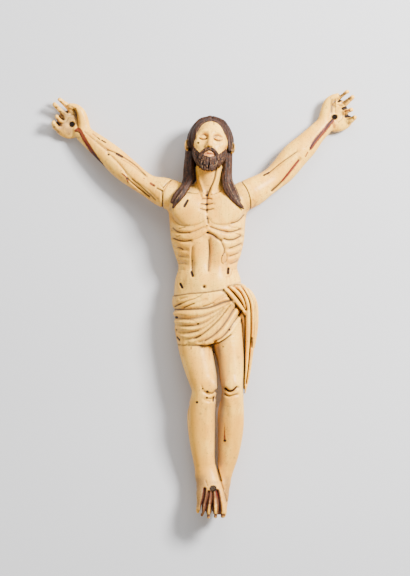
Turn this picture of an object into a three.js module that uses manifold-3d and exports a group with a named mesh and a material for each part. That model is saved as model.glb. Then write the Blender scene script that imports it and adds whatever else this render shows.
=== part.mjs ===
// A carved ivory corpus: the figure of a crucified man, made to be nailed to a cross, lying on its back.
// x runs to the viewer's right, y towards the head, and z up from the surface that the figure lies on.
// The body is one carving with its head, hair, loincloth and legs. Each arm is a carving of its own,
// butted against its shoulder. The form is built as a field of distances, turned into a faceted skin,
// and then sawn.
import * as THREE from "three";
import Module from "manifold-3d";

// Driving dimensions, in millimetres and degrees.
const HEIGHT = 403; // crown of the head to the tips of the toes
const PALM_BORE_RADIUS = 2.3; // the nail holes through the palms
const FOOT_BORE_RADIUS = 2.6; // the nail hole through both feet
const SHOULDER_GAP = 0.3; // the open seam between each arm and its shoulder
const REST_FLAT_DEPTH = 0.5; // how deep the back, hands and heel are rubbed flat
const HEAD_TILT = 24; // how far the face is lifted from looking straight ahead
const HEAD_LEAN = 4.5; // how far the crown leans to the viewer's right

// The carving is laid out in parts, one 403rd of the height each, so that pose and proportions follow
// the height.
const PARTS_HIGH = 403;
const PART = HEIGHT / PARTS_HIGH;
const GRAIN = 1.5; // spacing of the field's samples, in parts
const SKIN_FACETS = 9300; // facets that the whole skin is reduced to before it is sawn
const FAR = 12; // the field's value in empty space
const BLOCK_LOW = [-156, -219, -3];
const BLOCK_HIGH = [156, 219, 66];
const BORE_SIDES = 20;
const SCORE_FADE = 7; // the height in which a cut line fades out down the flanks
const BACK_SHARE = 0.42; // where the trunk is widest, as a share of its depth from behind

const STRAIGHT = new THREE.Quaternion();
const SIDEWAYS = new THREE.Vector3(1, 0, 0);
const UPWARDS = new THREE.Vector3(0, 0, 1);

function turned(axis, degrees) {
  return new THREE.Quaternion().setFromAxisAngle(axis, THREE.MathUtils.degToRad(degrees));
}

// The head has its own axes: across, up and forwards from the middle between the ears.
const HEAD_MIDDLE = new THREE.Vector3(...[7, 158.5, 33]);
const HEAD_TURN = turned(UPWARDS, -HEAD_LEAN).multiply(turned(SIDEWAYS, -HEAD_TILT));

function clamp(value, low, high) {
  return Math.min(Math.max(value, low), high);
}

function mix(a, b, share) {
  return a + (b - a) * share;
}

// Two distances as one, with a soft crease between them.
function join(a, b, soft) {
  const overlap = Math.max(soft - Math.abs(a - b), 0);
  return Math.min(a, b) - (overlap * overlap) / (4 * soft);
}

// The value at step t along a row of values, smooth through each of them.
function along(values, t) {
  const last = values.length - 1;
  const i = clamp(Math.floor(t), 0, last - 1);
  const s = t - i;
  const [p, a, b, q] = [i - 1, i, i + 1, i + 2].map((n) => values[clamp(n, 0, last)]);
  return a + 0.5 * s * (b - p + s * (2 * p - 5 * a + 4 * b - q + s * (3 * (a - b) + q - p)));
}

// Stations resampled into a smooth line of points, each with whatever numbers its stations have.
function smoothLine(stations, steps = 4) {
  const columns = stations[0].map((_, c) => stations.map((s) => s[c]));
  const count = (stations.length - 1) * steps;
  return Array.from({ length: count + 1 }, (_, n) => columns.map((column) => along(column, n / steps)));
}

// The height of a line of points [x, y] at x, level beyond its ends.
function levelAt(line, x) {
  const n = line.findIndex((p) => p[0] >= x);
  if (n <= 0) return n ? line[line.length - 1][1] : line[0][1];
  return mix(line[n - 1][1], line[n][1], (x - line[n - 1][0]) / (line[n][0] - line[n - 1][0]));
}

// Stations given in the head's axes, placed on the figure.
function onHead(stations) {
  return stations.map(([across, up, forwards, ...rest]) => {
    const p = new THREE.Vector3(across, up, forwards).applyQuaternion(HEAD_TURN).add(HEAD_MIDDLE);
    return [p.x, p.y, p.z, ...rest];
  });
}

// The same stations on both sides of the head.
function bothSides(stations) {
  return [1, -1].map((side) => onHead(stations.map(([across, ...rest]) => [side * across, ...rest])));
}

// One layer of the carving: distances to its surface on a grid of samples, below zero inside.
class Layer {
  constructor() {
    this.size = BLOCK_LOW.map((low, a) => Math.ceil((BLOCK_HIGH[a] - low) / GRAIN) + 1);
    this.field = new Float32Array(this.size[0] * this.size[1] * this.size[2]).fill(FAR);
  }

  // Goes through the samples from low to high; work(x, y, z, value) gives each its new value.
  visit(low, high, work) {
    const [x0, y0, z0] = BLOCK_LOW;
    const sample = (v, a, round) => clamp(round((v - BLOCK_LOW[a]) / GRAIN), 0, this.size[a] - 1);
    const [i0, j0, k0] = low.map((v, a) => sample(v, a, Math.ceil));
    const [i1, j1, k1] = high.map((v, a) => sample(v, a, Math.floor));
    const [row, sheet] = [this.size[0], this.size[0] * this.size[1]];
    for (let j = j0; j <= j1; j++) {
      for (let k = k0; k <= k1; k++) {
        for (let i = i0; i <= i1; i++) {
          const n = i + row * j + sheet * k;
          this.field[n] = work(x0 + i * GRAIN, y0 + j * GRAIN, z0 + k * GRAIN, this.field[n]);
        }
      }
    }
  }

  // A limb, fold or lock: a bar through stations [x, y, z, half width], with a half depth after it if
  // that differs.
  bar(stations, soft) {
    const line = smoothLine(stations);
    const reach = Math.max(...line.map((s) => Math.max(...s.slice(3)))) + soft + 2;
    const [low, high] = [-1, 1].map((side) =>
      [0, 1, 2].map((a) => side * Math.max(...line.map((s) => side * s[a])) + side * reach),
    );
    const spans = line.slice(1).map((b, n) => {
      const a = line[n];
      const squeeze = a.length > 4 ? (a[3] + b[3]) / (a[4] + b[4]) : 1;
      const [ux, uy, uz] = [b[0] - a[0], b[1] - a[1], (b[2] - a[2]) * squeeze];
      const weight = Math.max(squeeze, 1);
      return { a, ux, uy, uz, squeeze, weight, long: ux * ux + uy * uy + uz * uz, from: a[3], to: b[3] };
    });
    this.visit(low, high, (x, y, z, value) => {
      let nearest = FAR;
      for (const s of spans) {
        const vx = x - s.a[0];
        const vy = y - s.a[1];
        const vz = (z - s.a[2]) * s.squeeze;
        const t = Math.min(Math.max((s.ux * vx + s.uy * vy + s.uz * vz) / s.long, 0), 1);
        const dx = vx - t * s.ux;
        const dy = vy - t * s.uy;
        const dz = vz - t * s.uz;
        const gap = (Math.sqrt(dx * dx + dy * dy + dz * dz) - mix(s.from, s.to, t)) / s.weight;
        if (gap < nearest) nearest = gap;
      }
      return join(value, nearest, soft);
    });
  }

  // Goes through the samples round an egg; work(value, gap) has the distance to the egg's surface.
  egg([cx, cy, cz], [rx, ry, rz], turn, work) {
    const reach = Math.max(rx, ry, rz) + 5;
    const back = turn.clone().invert();
    const p = new THREE.Vector3();
    const [low, high] = [-reach, reach].map((r) => [cx + r, cy + r, cz + r]);
    this.visit(low, high, (x, y, z, value) => {
      p.set(x - cx, y - cy, z - cz).applyQuaternion(back);
      const near = Math.sqrt((p.x / rx) ** 2 + (p.y / ry) ** 2 + (p.z / rz) ** 2);
      const slope = Math.sqrt((p.x / rx ** 2) ** 2 + (p.y / ry ** 2) ** 2 + (p.z / rz ** 2) ** 2);
      return work(value, near < 1e-3 ? -Math.min(rx, ry, rz) : (near * (near - 1)) / slope);
    });
  }

  // A swelling: muscle, cheek or curl.
  lump(centre, radii, soft, turn = STRAIGHT) {
    this.egg(centre, radii, turn, (value, gap) => join(value, gap, soft));
  }

  // A hollow taken out of what is there.
  scoop(centre, radii, soft, turn = STRAIGHT) {
    this.egg(centre, radii, turn, (value, gap) => -join(-value, gap, soft));
  }

  // A line cut into the upper side, as drawn from above, fading out down the flanks. A depth below zero
  // raises a ridge.
  score(points, width, depth, floor = 19) {
    const line = smoothLine(points);
    const [low, high] = [-1, 1].map((side) =>
      [0, 1].map((a) => side * Math.max(...line.map((p) => side * p[a])) + side * 2.4 * width),
    );
    this.visit([...low, floor], [...high, BLOCK_HIGH[2]], (x, y, z, value) => {
      if (Math.abs(value) > 6) return value;
      let near = FAR * FAR;
      for (let n = 1; n < line.length; n++) {
        const a = line[n - 1];
        const ux = line[n][0] - a[0];
        const uy = line[n][1] - a[1];
        const t = Math.min(Math.max((ux * (x - a[0]) + uy * (y - a[1])) / (ux * ux + uy * uy), 0), 1);
        near = Math.min(near, (x - a[0] - t * ux) ** 2 + (y - a[1] - t * uy) ** 2);
      }
      return value + depth * Math.exp(-near / width ** 2) * clamp((z - floor) / SCORE_FADE, 0, 1);
    });
  }

  // Takes away what is beyond a limit, which is where beyond(x, y, z) is above zero.
  trim(low, high, beyond) {
    this.visit(low, high, (x, y, z, value) => Math.max(value, beyond(x, y, z)));
  }

  // A trunk along y through sections [y, middle, half width, lowest, highest], squarer behind than in
  // front. Where cut(x, y, z) is above zero there is none of it.
  trunk(sections, soft, cut = () => -FAR) {
    const line = smoothLine(sections, 12);
    const [top, bottom] = [line[0][0], line[line.length - 1][0]];
    const wide = Math.max(...line.map((s) => Math.abs(s[1]) + s[2])) + 8;
    let [at, cx, half, low, high] = [Infinity];
    this.visit([-wide, bottom - 4, BLOCK_LOW[2]], [wide, top + 4, BLOCK_HIGH[2]], (x, y, z, value) => {
      if (y !== at) {
        const n = clamp(line.findIndex((s) => s[0] <= y), 1, line.length - 1) || 1;
        const share = clamp((line[n - 1][0] - y) / (line[n - 1][0] - line[n][0]), 0, 1);
        [, cx, half, low, high] = line[n].map((v, c) => mix(line[n - 1][c], v, share));
        at = y;
      }
      const cz = mix(low, high, BACK_SHARE);
      const deep = z > cz ? high - cz : cz - low;
      const power = z > cz ? 2.2 : 2.8;
      const px = Math.abs(x - cx) / half;
      const pz = Math.abs(z - cz) / deep;
      const round = (px ** power + pz ** power) ** (1 / power);
      const slope = Math.hypot(px ** (power - 1) / half, pz ** (power - 1) / deep) * round ** (1 - power);
      const side = round < 0.05 ? -half : (round - 1) / slope;
      const ends = Math.max(y - top, bottom - y, cut(x, y, z));
      return join(value, -join(-side, -ends, 3), soft);
    });
  }
}

// Chest, waist and hips.
const TRUNK = [
  [119, 4, 24, 9, 32],
  [110, 4.5, 35, 3, 40],
  [97, 5, 39.2, 0, 46.5],
  [84, 4.5, 38.2, 0, 49],
  [64, 4.6, 36.5, 1, 48],
  [50, 4.9, 33.2, 4, 44.5],
  [37, 4.8, 29.4, 6, 40],
  [24, 5, 32.8, 5, 42],
  [9, 4.3, 33.3, 1, 44],
  [-10, 4.5, 32.8, 0, 44.5],
  [-34, 5.5, 31, 0, 41],
];

function carveTrunk(skin) {
  skin.trunk(TRUNK, 3);
  skin.bar([[6, 110, 23, 15, 17], [6, 126, 28, 12.8, 15.5], [6, 142, 33, 12.2, 14]], 6);
  // Breast muscles, then the hollow of the belly and its two long muscles.
  skin.lump([-14.5, 95, 40], [17, 15.5, 8.5], 5, turned(UPWARDS, -12));
  skin.lump([23, 95, 40], [17, 15.5, 8.5], 5, turned(UPWARDS, 12));
  skin.scoop([6, 47, 56], [15, 24, 16], 5);
  skin.bar([[-2, 61, 38, 6], [-2, 42, 35.5, 6], [-1, 22, 38, 6]], 6);
  skin.bar([[14.5, 61, 38, 6], [15, 42, 35.5, 6], [13, 22, 38, 6]], 6);
  skin.lump([5, 23, 36], [20, 13, 8], 7);
  // Cords of the neck, the collar bones and the notch between them.
  skin.score([[-7, 136], [-4, 123], [2, 108]], 2.2, -1.6, 20);
  skin.score([[18, 136], [13, 123], [6.5, 108]], 2.2, -1.6, 20);
  skin.score([[0, 108.5], [-9, 112], [-21, 115]], 2, -1.1, 20);
  skin.score([[10, 109], [19, 112.5], [31, 116]], 2, -1.1, 20);
  skin.scoop([4.3, 112.5, 47], [5, 7, 6], 2);
  // Breastbone and the marks across it.
  skin.score([[4.5, 107], [4.5, 92], [5, 82], [5, 73]], 2.2, 0.9);
  skin.score([[0, 104.5], [8.5, 104.5]], 1, 0.7);
  skin.score([[-2.5, 99], [11, 100]], 1, 0.8);
  skin.score([[-2.5, 93.7], [10.5, 94]], 1, 0.8);
  // Lower edge of the breast muscles, then the ribs, and the arch below them.
  skin.score([[-32, 87], [-23, 79.5], [-12, 76.5], [0, 80]], 2, 0.9);
  skin.score([[9, 79], [22, 77.5], [35, 82], [41, 87]], 2, 0.9);
  for (const rib of LEFT_RIBS) skin.score(rib, 1.7, 1.5);
  for (const rib of RIGHT_RIBS) skin.score(rib, 1.7, 1.5);
  skin.score([[4.5, 71], [-1, 67], [-7, 63], [-10.5, 56], [-10.5, 42], [-9.5, 28]], 1.7, 0.8);
  skin.score([[5.5, 71], [12, 67.5], [18, 63], [21.5, 55], [23, 42], [25, 29]], 1.8, 1.1);
  skin.score([[6.5, 66], [7, 54], [6.6, 42], [5.8, 33]], 1.5, 0.9);
  skin.scoop([1, 17, 46], [2.4, 2.2, 3], 1);
}

const LEFT_RIBS = [
  [[-31, 74], [-23, 71], [-13, 70.7], [-4, 74], [2, 76]],
  [[-31, 66], [-23, 63], [-12, 62.4]],
  [[-29, 58], [-24, 55], [-16, 54]],
  [[-27, 50], [-22, 47], [-16, 47]],
  [[-24, 42.5], [-17, 40.5]],
];

const RIGHT_RIBS = [
  [[8, 76], [17, 73], [27, 71.3], [38, 74]],
  [[19, 64], [28, 63.2], [39, 67]],
  [[25, 54.5], [32, 55.5], [38, 59]],
  [[26, 47], [32, 48.5], [37, 52]],
  [[27, 40], [34, 43]],
];

function carveLegs(skin) {
  // Hips, knees, calves and ankles of the figure's right leg, which passes in front, and then of its
  // left leg.
  skin.bar([
    [-10, -24, 23, 18, 17.5], [-8, -42, 25, 16.8, 16.5], [-4.6, -58, 27.5, 15.9, 15.5],
    [-1, -72, 30, 14.5, 14], [1.2, -84, 31.5, 12.6, 12.8], [0.6, -93, 30.5, 12.5, 12.4],
    [-1.7, -108, 26.5, 13.7, 12.8], [-1.7, -122, 23.5, 13.7, 12.4], [-0.7, -140, 21, 12.3, 11],
    [1.2, -158, 19, 10.6, 9.6], [3.8, -171, 18.5, 10.7, 9],
  ], 4);
  skin.bar([
    [23, -24, 23, 17.5, 17.5], [26, -44, 25, 14.8, 16.5], [28, -60, 27.5, 12.9, 15],
    [28.8, -74, 30, 12, 13.5], [29.7, -86, 31.5, 10.9, 12.6], [29.2, -96, 30, 11.4, 12.2],
    [28, -109, 26, 13, 12.5], [28, -122, 23, 12.8, 12], [27.1, -136, 20, 11.9, 10.6],
    [25.3, -152, 16.5, 10.1, 9], [22.2, -167, 13, 8.2, 8], [20, -179, 11.5, 7.2, 7.5],
  ], 4);
  // Knee caps with the fold of skin below each, and the edge of each shin.
  skin.lump([7, -82, 41], [7, 9, 4], 3);
  skin.lump([28.5, -80.5, 41], [7.5, 8.5, 4.5], 3);
  skin.score([[22.5, -84.5], [28, -88.2], [34.5, -83.5]], 1.5, 1.6);
  skin.score([[22, -90.5], [28, -92.5], [34.5, -90.5]], 1.5, 1);
  skin.score([[1, -87.5], [6, -90.5], [12.5, -87]], 1.5, 1.3);
  skin.score([[1, -95], [6, -97], [12, -94]], 1.5, 0.8);
  skin.score([[6, -100], [4.5, -126], [5.5, -158]], 3.4, -0.8);
  skin.score([[28, -100], [27.5, -126], [24, -158]], 3.4, -0.8);
  // The left foot lies underneath, heel down; the right foot is nailed over it.
  skin.bar([[19.5, -180, 12, 7.4, 8], [17.4, -193, 15, 8.4, 6.5], [16, -203, 19.5, 8.2, 4.6]], 3);
  skin.lump([18, -184, 7], [7, 8.5, 7], 4);
  skin.bar([
    [4.5, -174, 19, 11.2, 8.8], [6.4, -184, 23.5, 12.9, 8], [8.2, -194, 28.5, 14.2, 6.6],
  ], 4);
  skin.bar([[1.5, -190, 26.5, 7.4, 6], [1.8, -204.5, 31.5, 6.8, 4.6]], 2);
  skin.bar([[14.5, -190, 27.5, 8, 6], [15.6, -204, 32, 7.6, 4.6]], 2);
  skin.lump([3, -183, 11], [9, 8.5, 8], 5);
  skin.bar([[19.3, -201, 33.5, 4], [20, -207, 34.6, 3.8], [19.6, -210.6, 34, 3.4]], 1.2);
  for (const toe of TOES) skin.bar(toe, 1);
  for (const gap of FOOT_HOLLOWS) skin.score(gap, 1.4, 1.9, 20);
}

const TOES = [
  [[11.4, -198, 34, 2.2], [12.4, -206, 35.2, 2.6], [12.6, -212, 33.5, 2.3]],
  [[6.7, -198, 34, 2.1], [5.8, -206, 34.6, 2.6], [5.4, -212.4, 32.6, 2.2]],
  [[1.4, -196, 32.4, 2.2], [-0.2, -204, 32.8, 2.6], [-0.8, -210.4, 31.2, 2.2]],
  [[-3.4, -197, 28.4, 2.2], [-4.6, -204, 28.8, 2.3], [-4.8, -207.6, 28, 2]],
];

const FOOT_HOLLOWS = [
  [[5.8, -188], [4.2, -197], [2.6, -205], [2.2, -213]],
  [[9.2, -188], [9.2, -199], [9.1, -214]],
  [[14, -187], [15.6, -196], [16.4, -205], [16, -214]],
  [[1.6, -185], [0.4, -194], [-1.2, -200.6], [-1.8, -208]],
];

function carveArms(skin) {
  skin.bar([
    [-13, 103, 24, 11], [-25, 107, 26, 14], [-37, 111, 25.5, 15, 13.6], [-56, 119, 22, 11, 10.4],
    [-77, 134.4, 17.5, 12.4, 10.6], [-90.6, 146.6, 16, 12, 9.8], [-103, 157, 14.5, 10.7, 8.6],
    [-116.5, 168, 11.5, 8.8, 7.2], [-123, 174, 9.5, 8.4, 6.2],
  ], 5);
  skin.bar([
    [25, 102, 24, 11], [37, 106.5, 26, 14.2], [48.5, 111.5, 26, 14.6, 13.6], [61, 119, 23, 12.5, 11],
    [70.5, 125.5, 20, 11.9, 10.2], [80, 134, 18, 13, 10.8], [92, 148.5, 16, 13.3, 10],
    [102.5, 158.5, 14.5, 12, 8.8], [111.3, 168.4, 12.5, 10.1, 7.8], [119.5, 176.7, 10.5, 9.1, 6.6],
    [124, 181.5, 9.5, 8.8, 6],
  ], 5);
  skin.lump([42.4, 105, 24], [7.6, 11, 10.5], 4);
  // Cords and creases along the inside of each arm.
  skin.score([[-107, 163], [-95, 153.5], [-82, 147.5], [-69, 141.5], [-55, 131]], 1.7, 1.1, 8);
  skin.score([[-96, 151], [-87, 143], [-77, 131], [-63, 115], [-51, 105]], 1.7, 1.1, 8);
  skin.score([[60, 129], [69, 137], [81, 145], [95, 153]], 1.7, 1.1, 8);
  skin.score([[69, 113.5], [80, 123.5], [89, 134.5], [97, 145]], 1.7, 1.5, 8);
}

// A hand lies on its back with the palm up and the fingers curling up off the palm.
function carveHands(skin) {
  skin.lump([-133, 181.5, 6], [15, 11.5, 5.9], 3, turned(UPWARDS, 131));
  skin.lump([-138.5, 175.4, 6.4], [12.5, 7.8, 6.2], 2, turned(UPWARDS, 148));
  skin.bar([
    [-118.4, 173, 9, 5.6], [-120.6, 183.5, 10, 5.9], [-123, 192.2, 11.5, 4.7], [-128, 197.1, 12.5, 3.7],
    [-133, 198.8, 13.5, 2.7],
  ], 2);
  for (const finger of LEFT_FINGERS) skin.bar(finger, 1.2);
  skin.score([[-125.5, 177], [-127.2, 186], [-129.5, 194.5]], 1.8, 2.2, 8);
  skin.scoop([-132.5, 183, 14.5], [7, 6, 4.5], 2);

  skin.lump([133.5, 188.5, 6], [15, 11.5, 5.9], 3, turned(UPWARDS, 49));
  skin.lump([139, 181.5, 6.4], [12.5, 7.5, 6.2], 2, turned(UPWARDS, 27));
  skin.bar([
    [120.8, 182, 9, 5.4], [123.2, 193, 10, 5.4], [126, 201.6, 11.5, 4.9], [130, 206, 12.5, 4],
    [134.8, 208.8, 13.5, 2.7],
  ], 2);
  for (const finger of RIGHT_FINGERS) skin.bar(finger, 1.2);
  skin.score([[126.5, 185], [128.5, 195], [131, 202.5]], 1.8, 2.2, 8);
  skin.scoop([134, 191, 14.5], [7, 6, 4.5], 2);
}

const LEFT_FINGERS = [
  [[-129.5, 192, 8, 3.4], [-137, 199, 9.5, 2.9], [-143.8, 204.8, 12.5, 2.3]],
  [[-134.5, 188, 8, 3.4], [-142.5, 194.4, 10.5, 3], [-148.7, 200.2, 14, 2.4]],
  [[-138.5, 182.5, 8, 3.2], [-144, 185, 13, 2.9], [-146, 187.8, 17.5, 2.4]],
  [[-142.5, 175.5, 8, 3.8], [-148, 178.2, 12.5, 3.4], [-149.4, 181.4, 17, 2.7]],
];

const RIGHT_FINGERS = [
  [[133.5, 200.2, 8, 3.4], [139, 207, 10.5, 2.9], [144.6, 212.5, 14, 2.3]],
  [[138, 197, 8, 3.3], [144, 202.4, 11, 2.9], [149.8, 207.4, 15, 2.3]],
  [[140, 192, 8, 3.2], [144.6, 193, 13, 2.8], [148.6, 194.7, 17, 2.2]],
  [[142.5, 184.5, 8, 3.8], [148.3, 184.4, 12.5, 3.1], [152, 187.1, 16.5, 2.3]],
];

// The face is a general calm one: eyes half way up, then thirds from hairline to brow, nose and chin.
function carveHead(skin) {
  const lump = (place, radii, soft) => skin.lump(...onHead([place]), radii, soft, HEAD_TURN);
  const scoop = (place, radii, soft) => skin.scoop(...onHead([place]), radii, soft, HEAD_TURN);
  lump([0, 7, -3], [18.6, 20.5, 23], 3);
  lump([0, -7, 4.5], [15.6, 20, 15], 6);
  lump([0, -18, 7], [12, 9.5, 10], 5);
  lump([0, -25, 12.6], [5.6, 4.6, 4.6], 4);
  for (const side of [-1, 1]) {
    lump([side * 10.6, -4.5, 13], [4.6, 4, 4], 4);
    scoop([side * 7.3, 0.6, 20.8], [5.6, 4.4, 6], 1.5);
    lump([side * 7.2, 0.3, 13], [4.3, 3.4, 4.4], 0.6);
    lump([side * 2.7, -10.4, 18.6], [2, 1.9, 2.6], 1.2);
    lump([side * 22.8, -0.6, -1], [2.7, 6.2, 4.2], 1.5);
  }
  for (const brow of bothSides([[1.5, 4.8, 18.2, 1.7], [7, 6.5, 17.4, 1.8], [12.5, 3.6, 13.8, 1.7]])) {
    skin.bar(brow, 3);
  }
  skin.bar(onHead([[0, 4.5, 17.4, 1.8], [0, -3, 20.6, 2], [0, -9.6, 22.6, 2.6]]), 1.6);
  skin.bar(onHead([[-4.8, -17.2, 16, 1], [0, -16.4, 18.4, 1.4], [4.8, -17.2, 16, 1]]), 0.6);
  skin.bar(onHead([[-4, -19.2, 15.8, 1], [0, -20, 17.8, 1.7], [4, -19.2, 15.8, 1]]), 0.6);
  scoop([0, -18.1, 20.4], [4.8, 1.1, 3.4], 0.4);
}

function carveHair(hair) {
  hair.lump(...onHead([[-1.6, 8, -4]]), [21.2, 22.4, 25], 1, HEAD_TURN);
  hair.scoop(...onHead([[0, -8, 22]]), [18.2, 28.5, 18.5], 1.5, HEAD_TURN);
  hair.scoop(...onHead([[0, -24, 4]]), [13, 12, 20], 1.5, HEAD_TURN);
  // Locks from the parting round the temples to the ears, and the mass down the nape.
  for (const lock of bothSides(FRONT_LOCK)) hair.bar(lock, 1.2);
  for (const lock of bothSides(CROWN_LOCK)) hair.bar(lock, 1.2);
  hair.bar([[6.5, 154, 19, 19, 11], [6, 134, 17, 17.5, 10], [5, 116, 17, 19, 9]], 4);
  hair.score(onHead([[0, 20, 0], [0, 26, 12]]), 1.6, 1.4, 24);
  // Long locks from behind the ears to the front of the shoulders.
  for (const lock of LEFT_LOCKS) hair.bar(lock, 1);
  for (const lock of RIGHT_LOCKS) hair.bar(lock, 1);
}

const FRONT_LOCK = [[1.6, 26.4, 8.6, 2.8], [12.4, 21.6, 8.8, 3], [19, 9, 5, 2.8], [20.2, -3, 1, 2.6]];
const CROWN_LOCK = [[1.6, 28.6, 1, 2.6], [13.6, 22.6, 0, 3.4], [20, 11, -3, 3.4], [20.6, 3.5, -6, 3]];

const LEFT_LOCKS = [
  [[-13, 158, 25, 4.7, 7], [-13.8, 139, 30, 5.2, 9], [-14.6, 126, 33, 5.2, 8], [-17.2, 116, 37, 4, 6]],
  [[-14.4, 153, 28, 3], [-16.8, 138, 33, 2.8], [-17.8, 124, 37.5, 2.8], [-21.5, 114, 42, 3]],
  [[-11.6, 140, 33, 2.8], [-11.6, 128, 37, 2.8], [-15.5, 118, 41, 2.9], [-20.5, 109, 44, 3]],
  [[-19.5, 117, 41, 3], [-26.5, 109, 43, 3.2], [-30.2, 102.5, 43.5, 2.6]],
  [[-18, 115, 42, 3.2], [-23, 106.5, 45, 3.4], [-27.5, 100.5, 45.5, 2.4], [-30, 96.2, 45.5, 1.1]],
];

const RIGHT_LOCKS = [
  [[25, 155, 25, 4.7, 7], [24.4, 139, 30, 5, 9], [23.6, 127, 33, 5.2, 8], [25.4, 116, 37, 5, 6]],
  [[27, 151, 28, 2.8], [26.8, 137, 33, 2.7], [27, 124, 38, 2.9], [31.6, 113.4, 43, 2.8],
    [35.5, 104, 45.5, 2.4]],
  [[21.6, 140, 33, 2.6], [20.8, 127, 37.5, 2.6], [22.4, 116, 42.5, 2.9], [28.5, 106, 45.5, 2.8],
    [35, 100, 46.5, 2.2], [40.2, 95.4, 45.5, 1]],
  [[24, 134, 35, 2.8], [23.4, 122, 40, 3], [27, 112, 44.5, 3], [33.5, 103, 46, 2.6],
    [39, 97.5, 45.5, 1.4]],
];

const MOUSTACHE = [
  [0.8, -13.4, 20, 1.5],
  [4.4, -14.2, 19, 2],
  [7.8, -17.4, 16.4, 1.9],
  [9.2, -21.6, 14.4, 1.7],
];

// The beard's upper edge by the distance from the middle of the face: it dips at the moustache's ends and
// climbs over the cheeks to the ears.
const BEARD_EDGE = [
  [0, -13.4], [4, -13.6], [7, -15], [9, -16.6], [11, -14.8], [13.6, -10.6], [15.6, -5], [17.5, 2],
];
const BEARD_REACH = new THREE.Vector3(24, 44, 34);

// A short full beard over the jaw, forked at the chin, and a moustache that runs down into it.
function carveBeard(beard) {
  const lump = (place, radii) => beard.lump(...onHead([place]), radii, 3, HEAD_TURN);
  lump([0, -9, 4.6], [16.4, 20.6, 15.2]);
  lump([0, -19, 7.4], [12.8, 10.4, 10.8]);
  lump([0, -26.4, 12], [7.6, 6.4, 6]);
  const back = HEAD_TURN.clone().invert();
  const low = HEAD_MIDDLE.clone().sub(BEARD_REACH).toArray();
  const high = HEAD_MIDDLE.clone().add(BEARD_REACH).toArray();
  beard.trim(low, high, (x, y, z) => {
    const p = new THREE.Vector3(x, y, z).sub(HEAD_MIDDLE).applyQuaternion(back);
    const mouth = 2.8 - Math.hypot(p.x / 2.2, p.y + 18.3);
    return Math.max(p.y - levelAt(BEARD_EDGE, Math.abs(p.x)), mouth, -2 - p.z);
  });
  for (const side of [-1, 1]) {
    const place = (stations) => onHead(stations.map(([across, ...rest]) => [side * across, ...rest]));
    beard.bar(place(MOUSTACHE), 0.8);
    beard.bar(place([[16, -6, 1, 1.6], [14.2, -14, 4, 2.2], [11, -20.6, 8, 2.8], [6.6, -25.6, 12, 3.2]]), 2);
    beard.bar(place([[6.4, -23, 12.5, 2.6], [5.6, -28.6, 14, 3.3], [4.2, -32.6, 15.4, 2.8]]), 1);
    beard.bar(place([[4.2, -32.6, 15.4, 2.8], [1.8, -33.8, 17, 1.8]]), 1);
    beard.bar(place([[1.8, -23.6, 15.6, 1.8], [2.8, -28, 17.4, 2.4], [1.9, -31.8, 18.2, 1.8]]), 1);
  }
}

// The loincloth: a wrap round the hips, its upper edge rolled into a band, gathered into a knot at one hip.
const WRAP = [
  [15, 4.6, 34.2, 0.4, 45.6],
  [0, 4.5, 34.2, 0, 46.4],
  [-14, 5, 33.2, 0, 46.4],
  [-28, 6.3, 33, 0, 46],
  [-46, 8, 32.2, 1.5, 44.5],
];
const WRAP_TOP = [[-31, 9], [-13, 10.4], [7, 12], [21, 14], [33, 18.5], [43, 18.5]];
const WRAP_HEM = [
  [-31, -40], [-13, -40.8], [3, -41], [11, -39], [19, -36], [27, -31], [33, -26],
  [38, -17], [43, -8],
];
const HEM_BEHIND = -40;

function carveCloth(cloth) {
  cloth.trunk(WRAP, 1, (x, y, z) => {
    const hem = z < 22 ? HEM_BEHIND : levelAt(WRAP_HEM, x);
    return Math.max(y - levelAt(WRAP_TOP, x), hem - y);
  });
  // The rolled band, the hollow under it, and creases across it.
  cloth.score([[-31, 2], [-13, 3.4], [3, 5], [19, 9], [28, 13]], 6.5, -1.2, 10);
  cloth.score([[-32, -5.8], [-13, -5], [2, -4], [12, -2], [21, 1.5], [30, 4]], 1.6, 2, 10);
  cloth.score([[-29, -3], [-20, 0.6], [-3, 6.6]], 1.3, 1.1);
  cloth.score([[-18, -4], [-9, 0], [3, 4.5]], 1.3, 1);
  cloth.score([[-1, -3.5], [10, 1], [25, 7.5]], 1.3, 1.1);
  cloth.score([[-23, 5.2], [-7, 8.2]], 1.2, 0.8);
  // Folds raked from the thigh up to the knot.
  for (const fold of FOLDS) cloth.score(fold, 2.3, -1.9);
  for (const hollow of HOLLOWS) cloth.score(hollow, 1.5, 1);
  // The gathered swag, its end hanging down beside the thigh, and the web that keeps it on the thigh.
  for (const pleat of PLEATS) cloth.bar(pleat, 0.9);
  cloth.bar([
    [36, 12, 28, 9, 12.6], [43, -1, 26, 8.4, 12], [46, -20, 24.5, 6.9, 10.4], [45.4, -36, 23, 5.8, 9.4],
    [44, -52, 22, 4.8, 8.2], [42.6, -68, 22, 3.8, 6.6], [41.6, -84, 23.6, 2, 3.4],
  ], 2);
  for (const gather of GATHERS) cloth.score(gather, 1.5, 1.7);
}

const FOLDS = [
  [[-31, -9.6], [-13, -10], [1, -8.4], [15, -3.4], [29, 3.4]],
  [[-30, -17.6], [-16, -18.6], [-3, -17], [9, -11.4], [20, -3.6], [30, 3]],
  [[-28, -24], [-13, -25], [-2, -23], [8, -16.6], [19, -7.4], [30, 2]],
  [[-27, -30], [-16, -33], [-6, -30.4], [3, -25], [11, -18.4], [20, -9.6], [29, 0]],
  [[-13, -37.8], [-3, -34.4], [6, -28.4], [15, -19.6], [23, -9.6], [31, 0]],
  [[3, -38.8], [14, -32.4], [23, -23.4], [30, -13], [36.4, -3.6]],
  [[15, -37], [26.6, -29.4], [35, -18.6], [40.6, -8]],
];

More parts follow.
